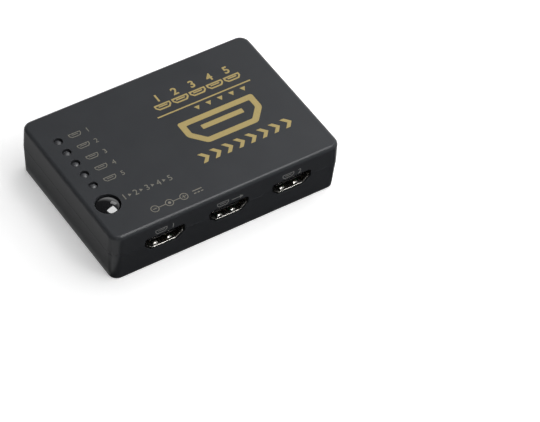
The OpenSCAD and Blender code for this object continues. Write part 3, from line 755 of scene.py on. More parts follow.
@dataclass
class VideoSocket(Assembly):
    """One receptacle: a flanged sheet shell with spring fingers, a moulded tongue and contacts."""

    name: str
    open_w: float = 14.0 * MM
    open_h: float = 4.55 * MM
    base_w: float = 9.3 * MM
    side_h: float = 2.35 * MM
    corner: float = 0.42 * MM
    corner_steps: int = 5
    sheet: float = 0.3 * MM
    flange: float = 0.6 * MM
    roll: float = 0.2 * MM
    roll_steps: tuple[int, int] = (5, 3)
    lip: float = 0.5 * MM
    slant: float = 0.03 * MM
    depth: float = 10.9 * MM
    finger_w: float = 1.6 * MM
    finger_pitch: float = 5.3 * MM
    finger_tip: float = 1.0 * MM
    finger_l: float = 5.6 * MM
    finger_bump: float = 0.3 * MM
    finger_r: float = 1.6 * MM
    finger_crown: float = 2.2 * MM
    tip_angle: float = 48.0
    tip_steps: int = 10
    finger_cuts: int = 7
    slit: float = 0.25 * MM
    tongue_w: float = 10.4 * MM
    tongue_t: float = 1.1 * MM
    tongue_z: float = 2.45 * MM
    tongue_setback: float = 1.3 * MM
    block_t: float = 3.0 * MM
    block_gap: float = 0.05 * MM
    tongue_edge: float = 0.275 * MM
    tongue_steps: int = 3
    leg_edge: float = 0.05 * MM
    leg_w: float = 1.4 * MM
    leg_places: tuple[float, float] = (4.8 * MM, 9.2 * MM)

    @property
    def slope_w(self) -> float:
        """Width of each sloped lower corner."""
        return (self.open_w - self.base_w) / 2

    @property
    def slope_h(self) -> float:
        """Height of each sloped lower corner."""
        return self.open_h - self.side_h

    def place(self) -> Matrix:
        """Where the socket sits: its mouth at y = 0, its depth along +Y and its floor at z = 0.

        Returns:
            The matrix from the socket's own frame to the model's.
        """
        low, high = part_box(f"{self.name}_shell")
        front = low.y + high.y < 0
        mouth = Vector(
            ((low.x + high.x) / 2, low.y if front else high.y, high.z - self.flange - self.open_h)
        )
        return Matrix.Translation(mouth) @ Matrix.Rotation(0.0 if front else math.pi, 4, "Z")

    def loop(self, part: BMesh, grow: float, depth: float) -> list[BMEdge]:
        """Adds the opening's outline, grown outwards, as a loop of edges.

        Args:
            part: Mesh that receives the loop.
            grow: How far the loop lies outside the opening.
            depth: Distance of the loop from the mouth.

        Returns:
            The loop's edges.
        """
        slope = math.hypot(self.slope_w, self.slope_h)
        base = self.base_w / 2 + grow * (slope - self.slope_w) / self.slope_h
        side = self.open_w / 2 + grow
        shoulder = self.slope_h - grow * (slope - self.slope_h) / self.slope_w
        top = self.open_h + grow
        half = [(base, -grow), (side, shoulder), (side, top)]
        corners = half + [(-x, z) for x, z in reversed(half)]
        old = set(part.faces)
        face = part.faces.new([part.verts.new((x, depth, z)) for x, z in corners])
        soften(part, list(face.verts), self.corner + grow, self.corner_steps)
        made = next(f for f in part.faces if f not in old)
        edges = list(made.edges)
        bmesh.ops.delete(part, geom=[made], context="FACES_ONLY")
        return edges

    def mouth(self) -> BMesh:
        """Lip of the shell: a rolled inner edge, a flat flange and its soft outer edge.

        Returns:
            The lip.
        """
        part = bmesh.new()
        inner, outer = self.roll_steps
        soft = self.flange - self.roll / 2
        path = [
            (0.0, self.lip),
            *arc((self.roll, self.roll), self.roll, 180, 270, inner),
            *arc((soft, self.roll / 2), self.roll / 2, 270, 360, outer),
            (self.flange, self.sheet),
            (self.sheet, self.sheet + self.slant),
            (self.sheet, self.lip + self.slant),
        ]
        loops = [self.loop(part, grow, depth) for grow, depth in path]
        for near, far in zip(loops, loops[1:] + loops[:1]):
            bmesh.ops.bridge_loops(part, edges=near + far)
        return part

    def sleeve(self) -> BMesh:
        """Sheet sleeve behind the lip, with the windows of its fingers.

        Returns:
            The sleeve, with the sheet's thickness.
        """
        part = bmesh.new()
        loops = [self.loop(part, 0.0, depth) for depth in (self.depth, self.lip)]
        bmesh.ops.bridge_loops(part, edges=loops[0] + loops[1])
        reach = self.finger_w / 2 + self.slit
        sides = [s * self.finger_pitch / 2 + t * reach for s in (-1, 1) for t in (-1, 1)]
        ends = (self.finger_tip - self.slit, self.finger_tip + self.finger_l)
        across, along = Vector((1.0, 0.0, 0.0)), Vector((0.0, 1.0, 0.0))
        for value, normal in [(x, across) for x in sides] + [(y, along) for y in ends]:
            bmesh.ops.bisect_plane(
                part,
                geom=[*part.verts, *part.edges, *part.faces],
                plane_co=normal * value,
                plane_no=normal,
            )
        windows = [
            f
            for f in part.faces
            if abs(f.normal.z) > LEVEL
            and ends[0] < f.calc_center_median().y < ends[1]
            and abs(abs(f.calc_center_median().x) - self.finger_pitch / 2) < reach
        ]
        bmesh.ops.delete(part, geom=windows, context="FACES")
        bmesh.ops.recalc_face_normals(part, faces=part.faces)
        inward = sum((f.normal.dot(f.calc_center_median()) for f in part.faces), 0.0) < 0
        bmesh.ops.solidify(part, geom=part.faces, thickness=self.sheet if inward else -self.sheet)
        return part

    def finger(self) -> BMesh:
        """Spring finger on the floor of the opening, rolled over at its crest.

        Returns:
            The finger.
        """
        part = bmesh.new()
        tip_angle = math.radians(self.tip_angle)
        crest_y = self.finger_tip + self.finger_r * math.sin(tip_angle)
        centre = Vector((0.0, crest_y, self.finger_bump - self.finger_r))
        half = self.finger_w / 2
        tip = Vector((0.0, -math.sin(tip_angle), math.cos(tip_angle))) * self.finger_r
        verts = [part.verts.new(centre + tip + Vector((s * half, 0.0, 0.0))) for s in (-1, 1)]
        edge = part.edges.new(verts)
        root = Vector((0.0, self.finger_tip + self.finger_l, 0.0))
        fall = math.asin(self.finger_bump / (root.y - centre.y))
        last = bmesh.ops.spin(
            part,
            geom=[*verts, edge],
            cent=centre,
            axis=(-1.0, 0.0, 0.0),
            angle=tip_angle + fall,
            steps=self.tip_steps,
        )["geom_last"]
        end = [e for e in last if isinstance(e, BMEdge)]
        run = bmesh.ops.extrude_edge_only(part, edges=end)["geom"]
        moved = [v for v in run if isinstance(v, BMVert)]
        bmesh.ops.translate(part, vec=root - sum((v.co for v in moved), Vector()) / 2, verts=moved)
        across = [e for e in part.edges if abs(e.verts[0].co.x - e.verts[1].co.x) > half]
        bmesh.ops.subdivide_edges(part, edges=across, cuts=self.finger_cuts, use_grid_fill=True)
        for vert in part.verts:
            fade = 1 - abs(vert.co.y - centre.y) / (root.y - centre.y)
            vert.co.z -= fade * vert.co.x**2 / (2 * self.finger_crown)
        bmesh.ops.recalc_face_normals(part, faces=part.faces)
        down = sum(f.normal.z for f in part.faces) < 0
        bmesh.ops.solidify(part, geom=part.faces, thickness=-self.sheet if down else self.sheet)
        return part

    def shell(self, place: Matrix) -> BMesh:
        """Lip, sleeve, four fingers and four board legs.

        Args:
            place: Where the socket sits.

        Returns:
            The shell in the model's frame.
        """
        shell = bmesh.new()
        join(shell, self.mouth(), place)
        join(shell, self.sleeve(), place)
        over = Matrix.Translation((0.0, 0.0, self.open_h)) @ Matrix.Diagonal((1.0, 1.0, -1.0, 1.0))
        for side in (-1, 1):
            shift = Matrix.Translation((side * self.finger_pitch / 2, 0.0, 0.0))
            join(shell, self.finger(), place @ shift)
            join(shell, self.finger(), place @ over @ shift)
        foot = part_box(f"{self.name}_shell")[0].z - place.translation.z
        for side in (-1, 1):
            for y in self.leg_places:
                faces = (side * self.open_w / 2, side * (self.open_w / 2 + self.sheet))
                leg = block(
                    Vector((min(faces), y - self.leg_w / 2, foot)),
                    Vector((max(faces), y + self.leg_w / 2, self.slope_h + self.sheet)),
                    self.leg_edge,
                )
                join(shell, leg, place)
        return shell

    def tongue(self, place: Matrix) -> BMesh:
        """Moulded block at the back of the shell, and the blade that stands out of it.

        Args:
            place: Where the socket sits.

        Returns:
            The tongue in the model's frame.
        """
        tongue, part = bmesh.new(), bmesh.new()
        front = self.depth - self.block_t
        for depth in (front, self.depth):
            bmesh.ops.contextual_create(part, geom=self.loop(part, -self.block_gap, depth))
        rims = [e for e in part.edges if len(e.link_faces) == 1]
        bmesh.ops.bridge_loops(part, edges=rims)
        join(tongue, part, place)
        half_w, half_t = self.tongue_w / 2, self.tongue_t / 2
        blade = block(
            Vector((-half_w, self.tongue_setback, self.tongue_z - half_t)),
            Vector((half_w, front, self.tongue_z + half_t)),
        )
        tip = [e for e in blade.edges if all(v.co.y < self.tongue_setback + MERGE for v in e.verts)]
        soften(blade, tip, self.tongue_edge, self.tongue_steps)
        join(tongue, blade, place)
        return tongue

    def build(self) -> None:
        """Makes the shell and the tongue, and dresses the contacts."""
        place, name, bench = self.place(), self.name, self.bench
        bench.piece(f"{name}_sleeve", self.shell(place), Slot.NICKEL, stands_for=[f"{name}_shell"])
        bench.piece(f"{name}_blade", self.tongue(place), Slot.SOCKET, stands_for=[f"{name}_tongue"])
        bench.dress(f"{name}_contacts", Slot.GOLD)


@dataclass
class SelectButton(Assembly):
    """Polished domed key with a rolled edge, two ears under the roof and a hub over the stem."""

    rise: float = 0.95 * MM
    edge: float = 0.2 * MM
    edge_angle: float = 1.6
    steps: int = 16
    ear_t: float = 1.0 * MM
    ear_edge: float = 0.125 * MM
    ear_top: float = 18.35 * MM
    ear_root: float = 0.6
    ear_reach: float = 0.7
    diameter: float = 8.3 * MM
    hub_d: float = 5.6 * MM
    stem_d: float = 3.7 * MM
    stem_depth: float = 2.0 * MM

    def build(self) -> None:
        """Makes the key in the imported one's place."""
        low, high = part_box("select_button")
        centre = Vector(((low.x + high.x) / 2, (low.y + high.y) / 2, 0.0))
        radius = self.diameter / 2
        crown_r = crown_radius(radius, self.rise)
        last = 90 - math.degrees(math.asin(radius / crown_r)) + self.edge_angle
        ear_bottom = self.ear_top - self.ear_t
        crown = arc((0.0, high.z - crown_r), crown_r, 90, last, self.steps)
        outline = [
            *crown,
            (radius, crown[-1][1] - self.edge),
            (radius, ear_bottom),
            (self.hub_d / 2, ear_bottom),
            (self.hub_d / 2, low.z),
            (self.stem_d / 2, low.z),
            (self.stem_d / 2, low.z + self.stem_depth),
            (0.0, low.z + self.stem_depth),
        ]
        key = bmesh.new()
        join(key, revolved(outline), Matrix.Translation(centre))
        half_span, half_ear = (high.y - low.y) / 2, radius * self.ear_reach
        for side in (-1, 1):
            near, far = sorted((side * radius * self.ear_root, side * half_span))
            ear = block(
                Vector((-half_ear, near, ear_bottom)),
                Vector((half_ear, far, self.ear_top)),
                self.ear_edge,
            )
            join(key, ear, Matrix.Translation(centre))
        self.bench.piece("select_key", key, Slot.BUTTON, Body.BUTTON, ["select_button"])


@dataclass
class SnapDome(Assembly):
    """Sheet dome of the key switch, which on the real switch flattens under the plunger; this piece
    keeps its resting shape.
    """

    joint: str = "select_press"
    diameter: float = 4.2 * MM
    rise: float = 0.6 * MM
    sheet: float = 0.1 * MM
    pressed: float = 0.43 * MM
    steps: int = 12

    def build(self) -> None:
        """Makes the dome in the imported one's place."""
        low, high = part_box("switch_dome")
        foot = Vector(((low.x + high.x) / 2, (low.y + high.y) / 2, low.z))
        radius = self.diameter / 2
        crown_r = crown_radius(radius, self.rise)
        edge = math.degrees(math.acos(radius / crown_r))
        middle = (0.0, self.rise - crown_r)
        outline = [
            *arc(middle, crown_r + self.sheet, edge, 90, self.steps),
            *arc(middle, crown_r, 90, edge, self.steps),
        ]
        dome = bmesh.new()
        join(dome, revolved([*outline, outline[0]]), Matrix.Translation(foot))
        made = self.bench.piece("snap_dome", dome, Slot.GOLD, stands_for=["switch_dome"])
        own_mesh(made)


@dataclass
class LampRow(Assembly):
    """Five domed indicator lenses, each with a rim at its foot."""

    count: int = 5
    rim_w: float = 0.4 * MM
    rim_h: float = 1.0 * MM
    dome: float = 0.85 * MM
    steps: int = 14

    def build(self) -> None:
        """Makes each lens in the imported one's place."""
        for number in range(1, self.count + 1):
            low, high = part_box(f"lamp_{number}")
            centre = (low + high) / 2
            outer = (high.x - low.x) / 2
            radius = outer - self.rim_w
            crown_r = crown_radius(radius, self.dome)
            edge = math.degrees(math.acos(radius / crown_r))
            outline = [
                (0.0, low.z),
                (outer, low.z),
                (outer, low.z + self.rim_h),
                (radius, low.z + self.rim_h),
                *arc((0.0, high.z - crown_r), crown_r, edge, 90, self.steps),
            ]
            lens = bmesh.new()
            join(lens, revolved(outline), Matrix.Translation((centre.x, centre.y, 0.0)))
            self.bench.piece(f"lens_{number}", lens, Slot.LENS, stands_for=[f"lamp_{number}"])


@dataclass
class Jacks(Assembly):
    """Power jack and remote-eye jack in the right side, with softened mouths."""

    rim: float = 0.15 * MM
    rim_steps: int = 3
    bodies: tuple[str, ...] = ("power_jack", "remote_jack")
    metal: tuple[str, ...] = ("remote_jack_bush", "power_jack_pin")

    def build(self) -> None:
        """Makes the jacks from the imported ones."""
        for node in self.bodies + self.metal:
            slot = Slot.JACK if node in self.bodies else Slot.TINNED
            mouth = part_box(node)[1].x - ON_FACE
            self.bench.soft_copy(
                node, f"{node}_body", slot, lambda p: p.x > mouth, self.rim, self.rim_steps
            )


class Screws(Assembly):
    """Four pan-head screws in their counterbores."""

    def build(self) -> None:
        """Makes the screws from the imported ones."""
        form = self.bench.copy_of("housing_screws")
        self.bench.piece("cover_screws", form, Slot.SCREW, stands_for=["housing_screws"])


@dataclass
class Stamp:
    """Thin film of ink on one face of the housing, drawn in the face's own plane.

    The sizes of a bar, a wedge and a port are shares of their own width or height.
    """

    film: float = 0.02 * MM
    sunk: float = 0.005 * MM
    sliver: float = 0.014
    curve_steps: int = 6
    corner_steps: int = 4
    ring_steps: int = 40
    bar_corner: float = 0.3
    wedge_length: float = 0.86
    wedge_corner: float = 0.06
    port_height: float = 0.42
    port_base: float = 0.66
    port_shoulder: float = 0.1
    port_corner: float = 0.03
    tongue_w: float = 0.55
    tongue_t: float = 0.2
    tongue_line: float = 0.9
    tongue_rise: float = 0.15
    form: BMesh = field(default_factory=bmesh.new)

    def add(self, part: BMesh, centre: Point, turn: float = 0.0) -> None:
        """Adds a flat shape to the film.

        Args:
            part: Shape about its own centre, which is freed.
            centre: Where its centre goes.
            turn: How far it is turned, in degrees.
        """
        for face in part.faces:
            face.normal_update()
            if face.normal.z < 0:
                face.normal_flip()
        place = Matrix.Translation((*centre, 0.0)) @ Matrix.Rotation(math.radians(turn), 4, "Z")
        bmesh.ops.transform(part, matrix=place, verts=part.verts)
        append(self.form, part)

    def shape(self, corners: Sequence[Point], corner: float = 0.0, line: float = 0.0) -> BMesh:
        """Flat shape with rounded corners, filled or as a line along its edge.

        Args:
            corners: Corners of the shape, in order.
            corner: How far each corner is cut by its rounding.
            line: Width of the line, or 0 to fill the shape.

        Returns:
            The shape.
        """
        part = bmesh.new()
        rings = [(corners, corner)]
        if line:
            rings.append((inset_corners(corners, line), corner / 2))
        for ring, cut in rings:
            face = part.faces.new([part.verts.new((x, y, 0.0)) for x, y in ring])
            if cut:
                soften(part, list(face.verts), cut, self.corner_steps)
        if line:
            bmesh.ops.delete(part, geom=list(part.faces), context="FACES_ONLY")
            bmesh.ops.bridge_loops(part, edges=list(part.edges))
        return part

    def bar(self, centre: Point, width: float, height: float) -> None:
        """Adds a filled bar.

        Args:
            centre: Centre of the bar.
            width: Width of the bar.
            height: Height of the bar.
        """
        x, y = width / 2, height / 2
        corner = min(x, y) * self.bar_corner
        self.add(self.shape([(-x, -y), (x, -y), (x, y), (-x, y)], corner), centre)

    def ring(self, centre: Point, radius: float, line: float = 0.0) -> None:
        """Adds a circle.

        Args:
            centre: Centre of the circle.
            radius: Outer radius.
            line: Width of its line, or 0 to fill it.
        """
        part = bmesh.new()
        bmesh.ops.create_circle(part, cap_ends=True, radius=radius, segments=self.ring_steps)
        if line:
            middle = list(part.faces)
            bmesh.ops.inset_region(
                part, faces=middle, thickness=line, use_boundary=True, use_even_offset=True
            )
            bmesh.ops.delete(part, geom=middle, context="FACES")
        self.add(part, centre)

    def port(self, centre: Point, width: float, line: float) -> None:
        """Adds the outline of a video socket with its tongue.

        Args:
            centre: Centre of the outline.
            width: Width of the outline.
            line: Width of its line.
        """
        x, y = width / 2, width * self.port_height / 2
        half = [(x * self.port_base, -y), (x, -y * self.port_shoulder), (x, y)]
        corners = half + [(-a, b) for a, b in reversed(half)]
        self.add(self.shape(corners, width * self.port_corner, line), centre)
        thick = max(line * self.tongue_line, y * self.tongue_t)
        middle = (centre[0], centre[1] + y * self.tongue_rise)
        self.bar(middle, width * self.tongue_w, thick)

    def chevron(self, centre: Point, width: float, height: float, line: float) -> None:
        """Adds an arrow head that points along +x.

        Args:
            centre: Centre of the head.
            width: Width from the back to the tip.
            height: Height of the back.
            line: Width of each arm along x.
        """
        x, y = width / 2, height / 2
        corners = [(-x, -y), (-x + line, -y), (x, 0.0), (-x + line, y), (-x, y), (x - line, 0.0)]
        self.add(self.shape(corners), centre)

    def wedge(self, centre: Point, size: float, turn: float = 0.0) -> None:
        """Adds a filled triangle that points along +x before it is turned.

        Args:
            centre: Centre of the triangle.
            size: Width of its back.
            turn: How far it is turned, in degrees.
        """
        x, y = size * self.wedge_length / 2, size / 2
        corner = size * self.wedge_corner
        self.add(self.shape([(-x, -y), (x, 0.0), (-x, y)], corner), centre, turn)

    def digits(self, text: str, centre: Point, height: float, weight: float = 0.0) -> None:
        """Adds plain figures.

        Args:
            text: Figures to write.
            centre: Centre of the row.
            height: Height of the figures.
            weight: How much each stroke is widened, as a share of the letter size.
        """
        curve = bpy.data.curves.new("figures", "FONT")
        curve.body = text
        curve.resolution_u = self.curve_steps
        curve.offset = weight
        carrier = bpy.data.objects.new("figures", curve)
        bpy.context.scene.collection.objects.link(carrier)
        seen = carrier.evaluated_get(bpy.context.evaluated_depsgraph_get())
        mesh = bpy.data.meshes.new_from_object(seen)
        part = bmesh.new()
        part.from_mesh(mesh)
        bpy.data.objects.remove(carrier)
        bpy.data.curves.remove(curve)
        bpy.data.meshes.remove(mesh)
        low, high = (
            Vector([pick(v.co[i] for v in part.verts) for i in range(3)]) for pick in (min, max)
        )
        scale = height / (high.y - low.y)
        fit = Matrix.Scale(scale, 4) @ Matrix.Translation(-(low + high) / 2)
        bmesh.ops.transform(part, matrix=fit, verts=part.verts)
        bmesh.ops.remove_doubles(part, verts=part.verts, dist=height * self.sliver)
        bmesh.ops.dissolve_limit(part, angle_limit=FLAT, verts=part.verts, edges=part.edges)
        self.add(part, centre)

    def finish(self, bench: Bench, name: str, ink: Material, place: Matrix) -> None:
        """Gives the film its thickness and lays it on the housing.

        Args:
            bench: Where the piece is made.
            name: Name of the piece.
            ink: Material of the film.
            place: From the face's plane to the model.
        """
        bmesh.ops.remove_doubles(self.form, verts=self.form.verts, dist=MERGE)
        run = bmesh.ops.extrude_face_region(self.form, geom=list(self.form.faces))["geom"]
        moved = [v for v in run if isinstance(v, BMVert)]
        bmesh.ops.translate(self.form, vec=(0.0, 0.0, self.film), verts=moved)
        lower = place @ Matrix.Translation((0.0, 0.0, -self.sunk))
        bmesh.ops.transform(self.form, matrix=lower, verts=self.form.verts)
        bmesh.ops.recalc_face_normals(self.form, faces=self.form.faces)
        bench.piece(name, self.form, ink)


@dataclass(frozen=True)
class Row:
    """Marks of one size, evenly spaced along x."""

    start: float
    pitch: float
    count: int
    size: float

    def places(self) -> list[float]:
        """Middle of each mark."""
        return [self.start + i * self.pitch for i in range(self.count)]


@dataclass
class TopPrint(Assembly):
    """Screen print on the roof: five sockets feeding one, figures by the lamps and supply signs."""

    inputs: Row = Row(1.7 * MM, 6.95 * MM, 5, 6.3 * MM)
    input_y: float = 14.2 * MM
    input_line: float = 0.62 * MM
    figure_y: float = 18.4 * MM
    figure_h: float = 3.4 * MM
    figure_weight: float = 0.025
    rule: tuple[Point, Point] = ((15.6 * MM, 10.2 * MM), (37.2 * MM, 0.55 * MM))
    arrows: Row = Row(11.5 * MM, 4.6 * MM, 5, 2.2 * MM)
    arrow_y: float = 7.7 * MM
    output: Point = (16.0 * MM, -1.8 * MM)
    output_w: float = 30.0 * MM
    output_line: float = 2.3 * MM
    chevrons: Row = Row(1.2 * MM, 4.7 * MM, 8, 3.6 * MM)
    chevron_y: float = -13.3 * MM
    chevron_h: float = 4.4 * MM
    chevron_line: float = 1.7 * MM
    label_x: float = -31.2 * MM
    label_w: float = 4.6 * MM
    label_line: float = 0.3 * MM
    label_figure_x: float = -26.4 * MM
    label_figure_h: float = 2.0 * MM
    steps: Row = Row(-31.6 * MM, 4.4 * MM, 5, 2.4 * MM)
    step_arrow: float = 1.3 * MM
    supply_x: float = -20.0 * MM
    supply_y: float = -25.0 * MM
    supply_line: float = 0.28 * MM
    supply_ring: float = 1.5 * MM
    supply_reach: float = 5.6 * MM
    pole: float = 0.36
    current_x: float = -9.0 * MM
    current_w: float = 3.6 * MM
    current_gap: float = 0.6 * MM
    current_line: float = 1.3
    dash: Row = Row(-1.35 * MM, 1.35 * MM, 3, 0.9 * MM)

    def emblem(self) -> Stamp:
        """Large gold print at the right.

        Returns:
            The film.
        """
        stamp = Stamp()
        for number, x in enumerate(self.inputs.places(), 1):
            stamp.port((x, self.input_y), self.inputs.size, self.input_line)
            stamp.digits(str(number), (x, self.figure_y), self.figure_h, self.figure_weight)
        centre, size = self.rule
        stamp.bar(centre, *size)
        for x in self.arrows.places():
            stamp.wedge((x, self.arrow_y), self.arrows.size, -90)
        stamp.port(self.output, self.output_w, self.output_line)
        for x in self.chevrons.places():
            place = (x, self.chevron_y)
            stamp.chevron(place, self.chevrons.size, self.chevron_h, self.chevron_line)
        return stamp

    def labels(self) -> Stamp:
        """Small print beside the lamps and the button.

        Returns:
            The film.
        """
        stamp = Stamp()
        for number in range(1, self.inputs.count + 1):
            y = middle_of(f"lamp_{number}").y
            stamp.port((self.label_x, y), self.label_w, self.label_line)
            stamp.digits(str(number), (self.label_figure_x, y), self.label_figure_h)
        y = middle_of("select_button").y
        for number, x in enumerate(self.steps.places(), 1):
            stamp.digits(str(number), (x, y), self.steps.size)
            if number < self.steps.count:
                stamp.wedge((x + self.steps.pitch / 2, y), self.step_arrow)
        return stamp

    def supply(self) -> Stamp:
        """Signs of the supply: its poles and direct current.

        Returns:
            The film.
        """
        stamp = Stamp()
        x, y, line, ring = self.supply_x, self.supply_y, self.supply_line, self.supply_ring
        stamp.ring((x, y), ring * self.pole)
        stamp.ring((x, y), ring, line)
        for reach in (-self.supply_reach, self.supply_reach):
            stamp.ring((x + reach, y), ring, line)
            stamp.bar((x + reach, y), ring, line)
            stamp.bar((x + reach / 2, y), self.supply_reach - 2 * ring, line)
        stamp.bar((x + self.supply_reach, y), line, ring)
        thick = line * self.current_line
        stamp.bar((self.current_x, y + self.current_gap), self.current_w, thick)
        for shift in self.dash.places():
            stamp.bar((self.current_x + shift, y - self.current_gap), self.dash.size, thick)
        return stamp

    def build(self) -> None:
        """Prints on the roof."""
        _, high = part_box("top_cover")
        roof = Matrix.Translation((0.0, 0.0, high.z))
        self.emblem().finish(self.bench, "emblem_print", GOLD_INK.make("gold ink"), roof)
        self.labels().finish(self.bench, "label_print", LABEL_INK.make("label ink"), roof)
        self.supply().finish(self.bench, "supply_print", SIGN_INK.make("sign ink"), roof)


@dataclass
class FrontPrint(Assembly):
    """Faint print above the front sockets: a figure for each input and an arrow for the output."""

    height: float = 16.2 * MM
    parting: float = 12.0 * MM
    draft: float = 1.0
    port_w: float = 4.6 * MM
    port_line: float = 0.28 * MM
    input_port_x: float = -1.6 * MM
    figure_x: float = 3.0 * MM
    figure_h: float = 2.0 * MM
    output_x: float = 2.6 * MM
    shaft_w: float = 3.6 * MM
    shaft_t: float = 0.35 * MM
    head_x: float = 4.8 * MM
    head: float = 1.6 * MM

    def build(self) -> None:
        """Prints on the sloped front wall."""
        stamp = Stamp()
        for name, figure in (("input_1", "1"), ("output", ""), ("input_2", "2")):
            x = middle_of(f"{name}_shell").x
            port_x = self.input_port_x if figure else -self.output_x
            stamp.port((x + port_x, 0.0), self.port_w, self.port_line)
            if figure:
                stamp.digits(figure, (x + self.figure_x, 0.0), self.figure_h)
            else:
                stamp.bar((x + self.output_x, 0.0), self.shaft_w, self.shaft_t)
                stamp.wedge((x + self.head_x, 0.0), self.head)
        low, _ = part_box("top_cover")
        slope = math.radians(self.draft)
        lean = (self.height - self.parting) * math.tan(slope)
        wall = Matrix.Translation((0.0, low.y + lean, self.height))
        place = wall @ Matrix.Rotation(math.pi / 2 - slope, 4, "X")
        stamp.finish(self.bench, "socket_print", SOCKET_INK.make("socket ink"), place)


INNER_PARTS = {
    "main_board": Slot.BOARD,
    "switch_plunger": Slot.SWITCH,
    "switch_base": Slot.SWITCH,
    "switch_plate": Slot.TINNED,
    "switch_legs": Slot.TINNED,
    "lamp_leads": Slot.TINNED,
    "power_jack_spring": Slot.TINNED,
    "remote_jack_springs": Slot.TINNED,
    "switch_chip": Slot.CHIP,
    "switch_chip_leads": Slot.TINNED,
    "controller_chip": Slot.CHIP,
    "controller_chip_leads": Slot.TINNED,
    "regulator": Slot.CHIP,
    "regulator_leads": Slot.TINNED,
    "crystal": Slot.CAN,
    "filter_capacitors": Slot.CAN,
    "chip_capacitors": Slot.CERAMIC,
    "chip_resistors": Slot.CERAMIC,
    "surge_arrays": Slot.CHIP,
}
SOCKET_NAMES = ("input_1", "output", "input_2", "input_3", "input_4", "input_5")


def facing(towards: Vector, turn: float) -> Matrix:
    """Turns a lamp or the camera back along a direction, and about it by some degrees."""
    level = (-towards).to_track_quat("-Z", "Y").to_matrix()
    return level @ Matrix.Rotation(math.radians(turn), 3, "Z")


@dataclass(frozen=True)
class Lamp:
    """Square soft lamp that faces the box, some way off in a direction."""

    name: str
    direction: Colour
    distance: float
    size: float
    power: float
    lights: Lights = Lights.ALL
    turn: float = 0.0

    def build(self) -> None:
        """Hangs the lamp."""
        data = bpy.data.lights.new(self.name, "AREA")
        data.shape = "SQUARE"
        data.size = self.size
        data.energy = self.power
        made = bpy.data.objects.new(self.name, data)
        towards = Vector(self.direction).normalized()
        made.location = towards * self.distance
        made.rotation_mode = "QUATERNION"
        made.rotation_quaternion = facing(towards, self.turn).to_quaternion()
        made.visible_diffuse = self.lights is not Lights.POLISH
        made.visible_glossy = self.lights is not Lights.MATTE
        bpy.context.scene.collection.objects.link(made)


LAMPS = (
    Lamp("key", (0.5, -0.05, 0.85), 0.55, 0.85, 3.9, Lights.MATTE),
    Lamp("window", (0.32, -0.08, 0.94), 0.7, 0.42, 4.5, Lights.POLISH, 30.0),
    Lamp("sheen", (0.585, 0.475, 0.655), 0.7, 0.2, 0.21, Lights.POLISH),
    Lamp("lip", (-0.55, -0.64, 0.53), 0.7, 0.12, 0.25, Lights.POLISH),
    Lamp("fill", (-0.9, 0.45, 0.45), 0.8, 0.6, 0.1),
    Lamp("glint", (0.22, -0.58, 0.78), 0.7, 0.14, 0.6),
)


